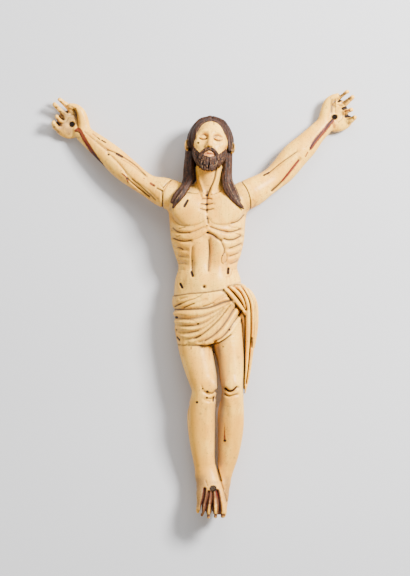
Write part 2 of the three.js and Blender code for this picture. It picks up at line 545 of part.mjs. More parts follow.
const HOLLOWS = [
  [[-29, -14], [-15, -14.8], [-1, -12.8], [13, -7], [26, 1]],
  [[-28, -21], [-15, -22], [-3, -20.4], [8, -14.4], [20, -5]],
  [[-27, -27], [-19, -29.2], [-7, -27.2], [2, -23], [10, -16.8], [19, -7.6]],
  [[-19, -36], [-7, -33.4], [2, -28], [10, -21], [18, -13.2], [26, -3]],
  [[-4, -38], [3, -36], [10, -31.6], [18, -24], [24.6, -15], [33, -2.6]],
  [[11, -37.6], [18, -34], [25, -26.6], [31, -18], [37.6, -8]],
];

const PLEATS = [
  [[22.4, 14.4, 42, 2.4], [28.4, 8.6, 41.4, 3], [34.6, 0.4, 38.8, 2.9], [41.4, -9.4, 35, 2]],
  [[27, 16.6, 41.6, 2.4], [34, 11.8, 41.4, 2.9], [39, 4.6, 39.6, 2.9], [42.4, -4.4, 37.2, 2.4],
    [43.8, -15, 34.6, 1.6]],
  [[31.6, 17.2, 39.6, 2.4], [38.6, 13.8, 40, 2.9], [43.4, 5.4, 38.8, 2.9], [45.4, -6, 37, 2.9],
    [45.3, -28, 34, 2.9], [44.6, -46, 31, 2.7], [43.4, -68, 28, 2.3], [41.8, -88.6, 26.6, 1.2]],
  [[35.4, 17.2, 36, 2.6], [42.8, 13.6, 37, 3.1], [48, 4.6, 36, 3], [50.2, -8, 34.6, 2.9],
    [50.2, -28, 32, 2.8], [48, -48, 29, 2.5], [45.8, -66, 26.8, 2.1], [43.2, -82, 26, 1.4]],
  [[36, 16, 29, 3], [45, 12.2, 30.5, 3.3], [50.8, 1.6, 29.8, 3.1], [52.4, -12, 28.8, 2.7],
    [51.6, -28, 27, 2.4], [49, -42, 25.4, 1.8]],
];

// Cuts between the pleats, down to where the pleats run out.
const GATHERS = [
  [[26, 16.4], [30, 12], [34, 7.4], [38, 2.6], [40.6, -2], [42.6, -6.6]],
  [[30.6, 17.6], [36, 13.4], [39.6, 7.8], [42, 1], [43.6, -5.6]],
  [[38, 17.6], [41.4, 12.6], [44.8, 6], [47.2, -2], [47.8, -16], [47.8, -30], [46.6, -48],
    [45.2, -64], [43, -80]],
  [[43.4, 16.6], [47.8, 10.4], [51, 3], [52.8, -5], [53.2, -18], [52.2, -32], [50.4, -44]],
];

// The tetrahedra that fill a cell, by its corners; a corner's bits say on which side it is in x, y and z.
const TETRAHEDRA = [
  [0, 1, 3, 7],
  [0, 3, 2, 7],
  [0, 2, 6, 7],
  [0, 6, 4, 7],
  [0, 4, 5, 7],
  [0, 5, 1, 7],
];
// How a tetrahedron's corners are taken, by which of them are inside, so that facets always face outwards.
const TURNS = {
  1: [0, 1, 2, 3],
  2: [1, 0, 3, 2],
  4: [2, 0, 1, 3],
  8: [3, 0, 2, 1],
  3: [0, 1, 2, 3],
  5: [0, 2, 3, 1],
  9: [0, 3, 1, 2],
  6: [1, 2, 0, 3],
  10: [1, 3, 2, 0],
  12: [2, 3, 0, 1],
};

// The surface where a field is zero, as corner points and triangles.
function skinOf(field, size) {
  const points = [];
  const triangles = [];
  const known = new Map();
  const [across, rows, sheets] = size;
  const steps = [0, 1, 2, 3, 4, 5, 6, 7].map((c) => (c & 1) + across * (((c >> 1) & 1) + rows * (c >> 2)));
  const place = (n) => [n % across, Math.floor(n / across) % rows, Math.floor(n / (across * rows))];

  // The point on the edge of the grid between corners c and d of the cell at n.
  const crossing = (n, c, d) => {
    const [first, second] = c < d ? [c, d] : [d, c];
    const key = (n + steps[first]) * 8 + (second - first);
    if (!known.has(key)) {
      known.set(key, points.length / 3);
      const [a, b] = [field[n + steps[first]], field[n + steps[second]]];
      const share = clamp(a / (a - b), 0.05, 0.95);
      const far = place(n + steps[second]);
      place(n + steps[first]).forEach((v, axis) => {
        points.push(BLOCK_LOW[axis] + mix(v, far[axis], share) * GRAIN);
      });
    }
    return known.get(key);
  };

  for (let k = 0; k < sheets - 1; k++) {
    for (let j = 0; j < rows - 1; j++) {
      for (let i = 0; i < across - 1; i++) {
        const n = i + across * (j + rows * k);
        const first = field[n] < 0;
        if (steps.every((step) => field[n + step] < 0 === first)) continue;
        for (const corners of TETRAHEDRA) {
          const bits = corners.map((c, bit) => (field[n + steps[c]] < 0 ? 1 << bit : 0));
          const inside = bits[0] | bits[1] | bits[2] | bits[3];
          if (inside === 0 || inside === 15) continue;
          const few = TURNS[inside] ?? TURNS[15 - inside];
          const flip = !(inside in TURNS);
          const [a, b, c, d] = few.map((turn) => corners[turn]);
          const pair = [3, 5, 6, 9, 10, 12].includes(inside);
          const edges = pair ? [[a, c], [a, d], [b, d], [b, c]] : [[a, b], [a, c], [a, d]];
          const ring = edges.map(([start, end]) => crossing(n, start, end));
          if (flip) ring.reverse();
          triangles.push(ring[0], ring[1], ring[2]);
          if (pair) triangles.push(ring[0], ring[2], ring[3]);
        }
      }
    }
  }
  return { points: Float64Array.from(points), triangles: Int32Array.from(triangles) };
}

const FIRST_STRAIN = 2e-3; // the flattening allowed in the first round of reducing
const STRAIN_GROWTH = 2; // and how many times more in each round after it
const LAST_STRAIN = 1000; // where it gives up
const THINNEST = 0.1; // a facet's smallest allowed share of a square on its longest side
const BACK_HEIGHT = 13; // below it is the hidden back
const HEAD_REACH = 27; // and how far the head reaches from its middle
const WRISTS_OUT = 118;
const TOES_DOWN = -180;

// How much flattening counts at a point: most on the head, more on the hands, cloth and toes than on the
// limbs, and least on the hidden back.
function care(x, y, z) {
  if (z < BACK_HEIGHT) return 0.3;
  if (Math.hypot(x - HEAD_MIDDLE.x, y - HEAD_MIDDLE.y) < HEAD_REACH) return 8;
  return Math.abs(x) > WRISTS_OUT || y < TOES_DOWN || (y < WRAP_TOP[0][1] && y > WRAP_HEM[0][1]) ? 2 : 1;
}

// Fewer, larger facets: edges are drawn together where that flattens least, until the wanted number is
// left.
function reduce({ points, triangles }, wanted) {
  const count = points.length / 3;
  const planes = new Float64Array(count * 10);
  const rings = Array.from({ length: count }, () => []);
  const gone = new Uint8Array(triangles.length / 3);
  const seen = new Int32Array(count);
  const sum = new Float64Array(10);
  const spot = [0, 0, 0];
  let mark = 0;
  let left = gone.length;

  // Measures triangle t, with its corner at moved taken to the spot: twice its area as a vector, that
  // vector's length, and the length as a share of the square of the longest side.
  const facing = new Float64Array(5);
  const side = (t, moved) => {
    const i = triangles[3 * t];
    const j = triangles[3 * t + 1];
    const k = triangles[3 * t + 2];
    const px = i === moved ? spot[0] : points[3 * i];
    const py = i === moved ? spot[1] : points[3 * i + 1];
    const pz = i === moved ? spot[2] : points[3 * i + 2];
    const ux = (j === moved ? spot[0] : points[3 * j]) - px;
    const uy = (j === moved ? spot[1] : points[3 * j + 1]) - py;
    const uz = (j === moved ? spot[2] : points[3 * j + 2]) - pz;
    const vx = (k === moved ? spot[0] : points[3 * k]) - px;
    const vy = (k === moved ? spot[1] : points[3 * k + 1]) - py;
    const vz = (k === moved ? spot[2] : points[3 * k + 2]) - pz;
    const u = ux * ux + uy * uy + uz * uz;
    const v = vx * vx + vy * vy + vz * vz;
    facing[0] = uy * vz - uz * vy;
    facing[1] = uz * vx - ux * vz;
    facing[2] = ux * vy - uy * vx;
    facing[3] = Math.sqrt(facing[0] ** 2 + facing[1] ** 2 + facing[2] ** 2);
    facing[4] = facing[3] / Math.max(u, v, u + v - 2 * (ux * vx + uy * vy + uz * vz));
  };

  for (let t = 0; t < gone.length; t++) {
    side(t, -1);
    const area = facing[3] || 1e-12;
    const first = 3 * triangles[3 * t];
    const [a, b, c] = [facing[0] / area, facing[1] / area, facing[2] / area];
    const d = -(a * points[first] + b * points[first + 1] + c * points[first + 2]);
    const plane = [a * a, a * b, a * c, a * d, b * b, b * c, b * d, c * c, c * d, d * d];
    const weight = area * care(points[first], points[first + 1], points[first + 2]);
    for (let e = 0; e < 3; e++) {
      const v = triangles[3 * t + e];
      rings[v].push(t);
      for (let m = 0; m < 10; m++) planes[10 * v + m] += plane[m] * weight;
    }
  }

  // Puts the spot where the two ends of an edge had best meet.
  const meet = (a, b) => {
    for (let m = 0; m < 10; m++) sum[m] = planes[10 * a + m] + planes[10 * b + m];
    const xx = sum[0];
    const xy = sum[1];
    const xz = sum[2];
    const yy = sum[4];
    const yz = sum[5];
    const zz = sum[7];
    const c0 = yy * zz - yz * yz;
    const c1 = xz * yz - xy * zz;
    const c2 = xy * yz - xz * yy;
    const det = xx * c0 + xy * c1 + xz * c2;
    let x = (points[3 * a] + points[3 * b]) / 2;
    let y = (points[3 * a + 1] + points[3 * b + 1]) / 2;
    let z = (points[3 * a + 2] + points[3 * b + 2]) / 2;
    if (det > 1e-4 * (xx + yy + zz) ** 3) {
      const c3 = xy * xz - xx * yz;
      const sx = -(sum[3] * c0 + sum[6] * c1 + sum[8] * c2) / det;
      const sy = -(sum[3] * c1 + sum[6] * (xx * zz - xz * xz) + sum[8] * c3) / det;
      const sz = -(sum[3] * c2 + sum[6] * c3 + sum[8] * (xx * yy - xy * xy)) / det;
      const near = (points[3 * a] - x) ** 2 + (points[3 * a + 1] - y) ** 2 + (points[3 * a + 2] - z) ** 2;
      if ((sx - x) ** 2 + (sy - y) ** 2 + (sz - z) ** 2 < 4 * near) {
        x = sx;
        y = sy;
        z = sz;
      }
    }
    spot[0] = x;
    spot[1] = y;
    spot[2] = z;
  };

  // The flattening there.
  const strain = () => {
    const [x, y, z] = spot;
    return (
      x * (sum[0] * x + 2 * (sum[1] * y + sum[2] * z + sum[3])) +
      y * (sum[4] * y + 2 * (sum[5] * z + sum[6])) +
      z * (sum[7] * z + 2 * sum[8]) +
      sum[9]
    );
  };

  // Whether the facets round an end keep their facing and grow no thinner when the end moves to the
  // spot. One that is too thin to face anywhere has to face the way that they do together.
  const keepsFacing = (v, other) => {
    let [rx, ry, rz] = [0, 0, 0];
    for (const t of rings[v]) {
      side(t, -1);
      rx += facing[0];
      ry += facing[1];
      rz += facing[2];
    }
    for (const t of rings[v]) {
      const goes = [0, 1, 2].some((m) => triangles[3 * t + m] === other);
      if (goes) continue;
      side(t, -1);
      const stout = facing[4];
      const thin = stout < THINNEST;
      const nx = thin ? rx : facing[0];
      const ny = thin ? ry : facing[1];
      const nz = thin ? rz : facing[2];
      const least = thin ? 0 : 0.2 * facing[3];
      side(t, v);
      if (nx * facing[0] + ny * facing[1] + nz * facing[2] <= least * facing[3]) return false;
      if (facing[4] < THINNEST && facing[4] < stout) return false;
    }
    return true;
  };

  // Whether the two ends have just the two neighbours in common that an edge of a plain skin has.
  const isPlain = (a, b) => {
    mark += 1;
    let common = 0;
    for (const t of rings[a]) for (let m = 0; m < 3; m++) seen[triangles[3 * t + m]] = mark;
    seen[a] = 0;
    seen[b] = 0;
    for (const t of rings[b]) {
      for (let m = 0; m < 3; m++) {
        const v = triangles[3 * t + m];
        if (seen[v] !== mark) continue;
        seen[v] = 0;
        common += 1;
      }
    }
    return common === 2;
  };

  const drawTogether = (a, b) => {
    for (let m = 0; m < 3; m++) points[3 * a + m] = spot[m];
    for (let m = 0; m < 10; m++) planes[10 * a + m] += planes[10 * b + m];
    for (const t of rings[b]) {
      const ends = [triangles[3 * t], triangles[3 * t + 1], triangles[3 * t + 2]];
      if (ends.includes(a)) {
        gone[t] = 1;
        left -= 1;
        for (const v of ends) if (v !== b) rings[v] = rings[v].filter((other) => other !== t);
      } else {
        triangles[3 * t + ends.indexOf(b)] = a;
        rings[a].push(t);
      }
    }
    rings[b] = [];
  };

  // Draws an edge together at the best spot, or else at one of its ends, where that is allowed.
  const shorten = (a, b, limit) => {
    meet(a, b);
    if (strain() > limit || !isPlain(a, b)) return;
    for (const end of [-1, a, b]) {
      if (end >= 0) for (let m = 0; m < 3; m++) spot[m] = points[3 * end + m];
      if (strain() <= limit && keepsFacing(a, b) && keepsFacing(b, a)) {
        drawTogether(a, b);
        return;
      }
    }
  };

  for (let limit = FIRST_STRAIN; left > wanted && limit < LAST_STRAIN; limit *= STRAIN_GROWTH) {
    for (let t = 0; t < gone.length && left > wanted; t++) {
      for (let e = 0; e < 3 && !gone[t]; e++) {
        const a = triangles[3 * t + e];
        const b = triangles[3 * t + ((e + 1) % 3)];
        if (a < b) shorten(a, b, limit);
      }
    }
  }

  const names = new Int32Array(count).fill(-1);
  const corners = [];
  const facets = [];
  for (let t = 0; t < gone.length; t++) {
    if (gone[t]) continue;
    for (let m = 0; m < 3; m++) {
      const v = triangles[3 * t + m];
      if (names[v] < 0) {
        names[v] = corners.length / 3;
        corners.push(points[3 * v], points[3 * v + 1], points[3 * v + 2]);
      }
      facets.push(names[v]);
    }
  }
  return { corners, facets };
}

function carve() {
  const [skin, cloth, hair, beard] = [0, 1, 2, 3].map(() => new Layer());
  carveTrunk(skin);
  carveLegs(skin);
  carveArms(skin);
  carveHands(skin);
  carveHead(skin);
  carveCloth(cloth);
  carveHair(hair);
  carveBeard(beard);
  const whole = skin.field.map((value, n) =>
    [cloth, hair, beard].reduce((sum, layer) => join(sum, layer.field[n], 0.7), value),
  );
  return reduce(skinOf(whole, skin.size), SKIN_FACETS);
}

const kit = await Module();
kit.setup();
const { Manifold, Mesh } = kit;

// A three.js geometry as a solid, for joining and cutting.
function solidOf(geometry) {
  const position = geometry.getAttribute("position");
  const index = geometry.getIndex()?.array ?? Array.from({ length: position.count }, (_, n) => n);
  const mesh = new Mesh({
    numProp: 3,
    vertProperties: Float32Array.from(position.array),
    triVerts: Uint32Array.from(index),
  });
  mesh.merge();
  return new Manifold(mesh);
}

// A saw cut straight down through the carving, along a line seen from above.
function sawCut(points) {
  const line = smoothLine(points).map(([x, y]) => new THREE.Vector2(x, y).multiplyScalar(PART));
  const edge = (side) =>
    line.map((p, n) => {
      const way = line[Math.min(n + 1, line.length - 1)].clone().sub(line[Math.max(n - 1, 0)]).normalize();
      return new THREE.Vector2(p.x - way.y * side, p.y + way.x * side);
    });
  const outline = [...edge(SHOULDER_GAP / 2), ...edge(-SHOULDER_GAP / 2).reverse()];
  const depth = (BLOCK_HIGH[2] - BLOCK_LOW[2]) * PART;
  const plate = new THREE.ExtrudeGeometry(new THREE.Shape(outline), { depth, bevelEnabled: false });
  return solidOf(plate.translate(0, 0, BLOCK_LOW[2] * PART));
}

function bore([x, y], radius) {
  const drill = new THREE.CylinderGeometry(radius, radius, 160 * PART, BORE_SIDES).rotateX(Math.PI / 2);
  return solidOf(drill.translate(x * PART, y * PART, 0));
}

const RIGHT_SHOULDER_SAW = [
  [-29, 127], [-33, 122], [-37, 117], [-39.4, 111], [-40.3, 104], [-39.4, 97], [-38, 91.5],
  [-39, 85],
];
const LEFT_SHOULDER_SAW = [
  [33, 129], [38, 123], [43, 116], [46, 109], [47.4, 103], [47.4, 97], [46.6, 91],
  [46.4, 84],
];

function build() {
  const { corners, facets } = carve();
  const whole = new Manifold(
    new Mesh({
      numProp: 3,
      vertProperties: Float32Array.from(corners, (v) => v * PART),
      triVerts: Uint32Array.from(facets),
    }),
  );
  const floor = new THREE.BoxGeometry(1000 * PART, 1000 * PART, 100).translate(0, 0, REST_FLAT_DEPTH - 50);
  const cuts = [
    sawCut(RIGHT_SHOULDER_SAW),
    sawCut(LEFT_SHOULDER_SAW),
    bore([-131.5, 180.4], PALM_BORE_RADIUS),
    bore([132, 187.6], PALM_BORE_RADIUS),
    bore([10, -184.4], FOOT_BORE_RADIUS),
    solidOf(floor),
  ];
  const sawn = cuts.reduce((solid, cut) => solid.subtract(cut), whole).translate([0, 0, -REST_FLAT_DEPTH]);
  const middle = (solid) => solid.boundingBox().min[0] + solid.boundingBox().max[0];
  const pieces = sawn.decompose().sort((a, b) => b.volume() - a.volume());
  return pieces.slice(0, 3).sort((a, b) => middle(a) - middle(b));
}

function meshOf(solid, name, colour) {
  const { vertProperties, triVerts } = solid.getMesh();
  const geometry = new THREE.BufferGeometry();
  geometry.setAttribute("position", new THREE.BufferAttribute(Float32Array.from(vertProperties), 3));
  geometry.setIndex(new THREE.BufferAttribute(Uint32Array.from(triVerts), 1));
  geometry.computeVertexNormals();
  const ivory = new THREE.MeshStandardMaterial({ color: colour, roughness: 0.42, metalness: 0 });
  ivory.flatShading = true;
  const mesh = new THREE.Mesh(geometry, ivory);
  mesh.name = name;
  return mesh;
}

const [rightArm, body, leftArm] = build();
const corpus = new THREE.Group();
corpus.name = "crucifix_corpus_figure";
corpus.add(meshOf(body, "body", 0xe9cf9f));
corpus.add(meshOf(rightArm, "right_arm", 0xe6ca98));
corpus.add(meshOf(leftArm, "left_arm", 0xecd6ab));
export default corpus;
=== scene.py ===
import math

import bpy
import numpy as np
from mathutils import Matrix, Vector


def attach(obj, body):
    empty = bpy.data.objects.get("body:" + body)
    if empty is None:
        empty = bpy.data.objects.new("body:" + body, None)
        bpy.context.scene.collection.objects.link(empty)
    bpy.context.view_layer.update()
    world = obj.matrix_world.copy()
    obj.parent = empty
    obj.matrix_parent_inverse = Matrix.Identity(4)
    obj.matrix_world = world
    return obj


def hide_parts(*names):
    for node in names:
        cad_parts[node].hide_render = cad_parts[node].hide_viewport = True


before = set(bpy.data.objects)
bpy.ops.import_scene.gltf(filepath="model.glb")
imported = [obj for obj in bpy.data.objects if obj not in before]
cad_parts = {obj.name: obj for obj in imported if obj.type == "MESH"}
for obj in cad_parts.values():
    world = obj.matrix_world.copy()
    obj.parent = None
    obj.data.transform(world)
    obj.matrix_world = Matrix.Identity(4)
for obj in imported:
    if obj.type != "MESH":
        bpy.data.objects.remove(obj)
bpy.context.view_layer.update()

# An aged ivory corpus, lying on its back: a body and two arms, each carved as fields of distances, skinned
# and painted. Lengths are in millimetres until a finished mesh goes into the scene.
# x runs to the viewer's right, y towards the head, and z up from the surface that the figure lies on.
# Right and left in a name are the figure's own, so its right hand is on the viewer's left.
MM = 0.001
PALM_BORE_RADIUS = 2.3
FOOT_BORE_RADIUS = 2.6
# The painted shade in a nail hole spreads this far past its edge.
BORE_RIM = 1.1  # how far the dark of a nail hole spreads past its edge
SHOULDER_GAP = 0.3
SHOULDER_FOOT = 80  # the saw cuts at the shoulders run between this height and the next
SHOULDER_TOP = 140
REST_FLAT_DEPTH = 0.5
HEAD_TILT = 24
HEAD_LEAN = 4.5

FAR = 12  # a field's value in empty space
BLOCK_FOOT = -2
BLOCK_TOP = 66
ARM_BLOCK_TOP = 48
BODY_GRAIN = 0.62
ARM_GRAIN = 0.5
MOST_FACETS = 196000
UPWARDS = "Z"
SIDEWAYS = "X"

# The trunk is widest at this share of its depth from behind, and squarer behind than in front.
BACK_SHARE = 0.42
FRONT_POWER = 2.2
BACK_POWER = 2.8

# A cut line has faded out at one of these heights, and is full a little above it.
SCORE_FADE = 7
TRUNK_FLOOR = 19
NECK_FLOOR = 20
HEAD_FLOOR = 24
FOOT_FLOOR = 20
BAND_FLOOR = 10
ARM_FLOOR = 8
LIMB_FLOOR = 6
PALM_FLOOR = 4
FINGER_FLOOR = 3
DEEPEST_CUT = 6  # a cut line changes the field no further than this from the surface
SCORE_REACH = 2.4  # a cut line spreads this many times its width, and a stroke of paint the next
STROKE_REACH = 2.5


def turned(axis, degrees):
    return np.array(Matrix.Rotation(math.radians(degrees), 3, axis))


STRAIGHT = np.eye(3)
HEAD_MIDDLE = np.array([7, 158.5, 33])
HEAD_TURN = turned(UPWARDS, -HEAD_LEAN) @ turned(SIDEWAYS, -HEAD_TILT)


def join(a, b, soft):
    """Two distances as one, with a soft crease between them."""
    overlap = np.maximum(soft - np.abs(a - b), 0)
    return np.minimum(a, b) - overlap * overlap / (4 * soft)


def smooth_line(stations, steps=5):
    """Stations resampled into a smooth line of points, each with whatever numbers its stations have."""
    s = np.array(stations, float)
    last = len(s) - 1
    t = np.arange(last * steps + 1) / steps
    i = np.clip(np.floor(t).astype(int), 0, last - 1)
    u = (t - i)[:, None]
    p, a, b, q = (s[np.clip(i + n, 0, last)] for n in (-1, 0, 1, 2))
    return a + 0.5 * u * (b - p + u * (2 * p - 5 * a + 4 * b - q + u * (3 * (a - b) + q - p)))


def on_head(stations):
    """Stations given across, up and forwards from the middle of the head, placed on the figure."""
    return [[*(HEAD_TURN @ np.array(s[:3]) + HEAD_MIDDLE), *s[3:]] for s in stations]


def mirrored(stations, side):
    return [[side * s[0], *s[1:]] for s in stations]


def on_side(side, stations):
    """Stations of one half of the head, placed on the figure's left side, or on its right with side -1."""
    return on_head(mirrored(stations, side))


class Block:
    """The box of samples that a piece is carved in, with the maps of its paint as seen from above."""

    def __init__(self, low, high, grain):
        self.grain = grain
        self.low = np.array(low, float)
        self.axes = [np.arange(a, b + grain, grain, dtype=np.float32) for a, b in zip(low, high)]
        self.size = tuple(len(axis) for axis in self.axes)
        self.paint = {}

    def part(self, low, high):
        """The samples between two corners: their slices, and their x, y and z."""
        ends = [np.searchsorted(axis, [a, b]) for axis, a, b in zip(self.axes, low, high)]
        if any(a >= b for a, b in ends):
            return None
        place = tuple(slice(a, b) for a, b in ends)
        x, y, z = (axis[s] for axis, s in zip(self.axes, place))
        return place, x[:, None, None], y[None, :, None], z[None, None, :]

    def stroke(self, kind, points, width, amount=1.0):
        """Paint of a kind along a line seen from above, at [x, y] or [x, y, share of the width]."""
        line = smooth_line(points)
        if line.shape[1] < 3:
            line = np.column_stack([line, np.ones(len(line))])
        reach = STROKE_REACH * width
        found = self.part([*(line[:, :2].min(0) - reach), 0], [*(line[:, :2].max(0) + reach), 1.5])
        if not found:
            return
        place, x, y, _ = found
        if kind not in self.paint:
            self.paint[kind] = np.zeros(self.size[:2], np.float32)
        near, share = nearest_on(line, x[:, :, 0], y[:, :, 0])
        tone = amount * np.exp(-((near / (width * np.maximum(share, 0.05))) ** 2))
        area = self.paint[kind][place[:2]]
        np.maximum(area, tone, out=area)

    def dab(self, kind, spot, radius, amount=1.0):
        x, y = spot[:2]
        self.stroke(kind, [[x - 0.2, y], [x + 0.2, y]], radius, amount)


def nearest_on(line, x, y):
    """The distance from each x, y to a line seen from above, and the line's third number there."""
    near = np.full(np.broadcast_shapes(x.shape, y.shape), np.inf, np.float32)
    share = np.zeros_like(near)
    for a, b in zip(line, line[1:]):
        ux, uy = b[:2] - a[:2]
        t = np.clip((ux * (x - a[0]) + uy * (y - a[1])) / (ux * ux + uy * uy + 1e-9), 0, 1)
        gap = np.hypot(x - a[0] - t * ux, y - a[1] - t * uy)
        closer = gap < near
        near = np.where(closer, gap, near)
        share = np.where(closer, a[2] + t * (b[2] - a[2]), share)
    return near, share


class Layer:
    """One layer of the carving: distances to its surface on a block's samples, below zero inside."""

    def __init__(self, block):
        self.block = block
        self.field = np.full(block.size, FAR, np.float32)

    def bar(self, stations, soft, strands=0, depth=0.3):
        """A limb, fold or lock: a bar through stations [x, y, z, half width], with a half depth after it
        if that differs. Strands are furrows along it, from side to side."""
        line = smooth_line([[*s, s[3]][:5] for s in stations])
        reach = line[:, 3:].max() + soft + 2
        found = self.block.part(line[:, :3].min(0) - reach, line[:, :3].max(0) + reach)
        if not found:
            return
        place, *space = found
        nearest = np.full(np.broadcast_shapes(*(c.shape for c in space)), FAR, np.float32)
        for a, b in zip(line, line[1:]):
            low = np.minimum(a, b)[:3] - reach
            high = np.maximum(a, b)[:3] + reach
            near = tuple(slice(*np.searchsorted(c.ravel(), [p, q])) for c, p, q in zip(space, low, high))
            if any(s.start >= s.stop for s in near):
                continue
            x = space[0][near[0]]
            y = space[1][:, near[1]]
            z = space[2][:, :, near[2]]
            squeeze = (a[3] + b[3]) / (a[4] + b[4])
            ux, uy, uz = b[0] - a[0], b[1] - a[1], (b[2] - a[2]) * squeeze
            vx, vy, vz = x - a[0], y - a[1], (z - a[2]) * squeeze
            t = np.clip((ux * vx + uy * vy + uz * vz) / (ux * ux + uy * uy + uz * uz + 1e-9), 0, 1)
            half = a[3] + (b[3] - a[3]) * t
            dx, dy, dz = vx - t * ux, vy - t * uy, vz - t * uz
            gap = (np.sqrt(dx * dx + dy * dy + dz * dz) - half) / max(squeeze, 1)
            if strands:
                flat = math.hypot(ux, uy) + 1e-9
                aside = (dy * ux - dx * uy) / flat / half
                gap = gap + depth * np.cos(aside * math.pi * strands)
            np.minimum(nearest[near], gap, out=nearest[near])
        self.field[place] = join(self.field[place], nearest, soft)

    def egg(self, centre, radii, turn):
        """The samples round an egg, and the distance from each to the egg's surface."""
        reach = max(radii) + 5
        found = self.block.part([c - reach for c in centre], [c + reach for c in centre])
        if not found:
            return None
        place, x, y, z = found
        away = (x - centre[0], y - centre[1], z - centre[2])
        p = [sum(turn[j][i] * away[j] for j in range(3)) for i in range(3)]
        near = np.sqrt(sum((p[i] / radii[i]) ** 2 for i in range(3)))
        slope = np.sqrt(sum((p[i] / radii[i] ** 2) ** 2 for i in range(3))) + 1e-9
        return place, np.where(near < 1e-3, -min(radii), near * (near - 1) / slope).astype(np.float32)

    def lump(self, centre, radii, soft, turn=STRAIGHT):
        """A swelling: muscle, cheek or curl."""
        found = self.egg(centre, radii, turn)
        if found:
            place, gap = found
            self.field[place] = join(self.field[place], gap, soft)

    def scoop(self, centre, radii, soft, turn=STRAIGHT):
        """A hollow taken out of what is there."""
        found = self.egg(centre, radii, turn)
        if found:
            place, gap = found
            self.field[place] = -join(-self.field[place], gap, soft)

    def score(self, points, width, depth, floor=TRUNK_FLOOR, stain_and_shade=0.0):
        """A line cut into the upper side, as drawn from above, fading out down the flanks, with brown
        stain in it. A depth below zero raises a ridge."""
        line = smooth_line([p[:2] for p in points])
        reach = SCORE_REACH * width
        found = self.block.part([*(line.min(0) - reach), floor], [*(line.max(0) + reach), BLOCK_TOP])
        if not found:
            return
        place, x, y, z = found
        near, _ = nearest_on(np.column_stack([line, line[:, 0]]), x[:, :, 0], y[:, :, 0])
        cut = depth * np.exp(-((near / width) ** 2))[:, :, None] * np.clip((z - floor) / SCORE_FADE, 0, 1)
        value = self.field[place]
        self.field[place] = np.where(np.abs(value) > DEEPEST_CUT, value, value + cut)
        if stain_and_shade:
            self.block.stroke("stain_and_shade", [p[:2] for p in points], 0.85 * width, stain_and_shade)

    def engrave(self, points, width, amount, floor=TRUNK_FLOOR):
        """A fine line cut with a point, with brown stain in it."""
        self.score(points, 0.9 * width, 1.05 * amount, floor, 1.2 * amount)

    def trunk(self, sections, soft, cut=None):
        """A trunk along y through sections [y, middle, half width, lowest, highest], squarer behind than in
        front. Where cut(x, y, z) is above zero there is none of it."""
        line = smooth_line(sections, 12)[::-1]
        bottom, top = line[0, 0], line[-1, 0]
        wide = (np.abs(line[:, 1]) + line[:, 2]).max() + 8
        found = self.block.part([-wide, bottom - 4, BLOCK_FOOT], [wide, top + 4, BLOCK_TOP])
        if not found:
            return
        place, x, y, z = found
        cx, half, low, high = (np.interp(y, line[:, 0], line[:, n]).astype(np.float32) for n in (1, 2, 3, 4))
        cz = low + (high - low) * BACK_SHARE
        front = z > cz
        deep = np.where(front, high - cz, cz - low)
        power = np.where(front, np.float32(FRONT_POWER), np.float32(BACK_POWER))
        px = np.abs(x - cx) / half + 1e-6
        pz = np.abs(z - cz) / deep + 1e-6
        ring = (px**power + pz**power) ** (1 / power)
        slope = np.hypot(px ** (power - 1) / half, pz ** (power - 1) / deep) * ring ** (1 - power)
        side = np.where(ring < 0.05, -half, (ring - 1) / slope)
        ends = np.maximum(y - top, bottom - y)
        if cut:
            ends = np.maximum(ends, cut(x, y, z))
        made = -join(-side, -ends, 3)
        self.field[place] = join(self.field[place], made, soft)

    def trim(self, low, high, beyond):
        """Takes away what is between two corners where beyond(x, y, z) is above zero."""
        found = self.block.part(low, high)
        if found:
            place, x, y, z = found
            self.field[place] = np.maximum(self.field[place], beyond(x, y, z))


def level_at(line, x):
    """The height of a line of points [x, y] at x, level beyond its ends."""
    return np.interp(x, [p[0] for p in line], [p[1] for p in line])


# Chest, waist and hips.
TRUNK = [
    [119, 4, 24, 9, 32],
    [110, 4.5, 35, 3, 40],
    [97, 5, 39.2, 0, 46.5],
    [84, 4.5, 38.2, 0, 49],
    [64, 4.6, 36.5, 1, 48],
    [50, 4.9, 33.2, 4, 44.5],
    [37, 4.8, 29.4, 6, 40],
    [24, 5, 32.8, 5, 42],
    [9, 4.3, 33.3, 1, 44],
    [-10, 4.5, 32.8, 0, 44.5],
    [-34, 5.5, 31, 0, 41],
]

NECK = [[6, 110, 23, 15, 17], [6, 126, 28, 12.8, 15.5], [6, 142, 33, 12.2, 14]]

# The two long muscles of the belly.
BELLY_BARS = [
    [[-2, 61, 38, 6], [-2, 42, 35.5, 6], [-1, 22, 38, 6]],
    [[14.5, 61, 38, 6], [15, 42, 35.5, 6], [13, 22, 38, 6]],
]

# Cords of the neck and the collar bones, each with its width and depth. Below zero a depth raises a ridge.
NECK_RIDGES = [
    ([[-7, 136], [-4, 123], [2, 108]], 2.2, -1.6),
    ([[18, 136], [13, 123], [6.5, 108]], 2.2, -1.6),
    ([[0, 108.5], [-9, 112], [-21, 115]], 2, -1.1),
    ([[10, 109], [19, 112.5], [31, 116]], 2, -1.1),
]

# The breastbone with the marks across it, and the lower edge of the breast muscles.
BREAST_CUTS = [
    ([[4.5, 107], [4.5, 92], [5, 82], [5, 73]], 2.2, 0.9),
    ([[0, 104.5], [8.5, 104.5]], 1, 0.7),
    ([[-2.5, 99], [11, 100]], 1, 0.8),
    ([[-2.5, 93.7], [10.5, 94]], 1, 0.8),
    ([[-32, 87], [-23, 79.5], [-12, 76.5], [0, 80]], 2, 0.9),
    ([[9, 79], [22, 77.5], [35, 82], [41, 87]], 2, 0.9),
]

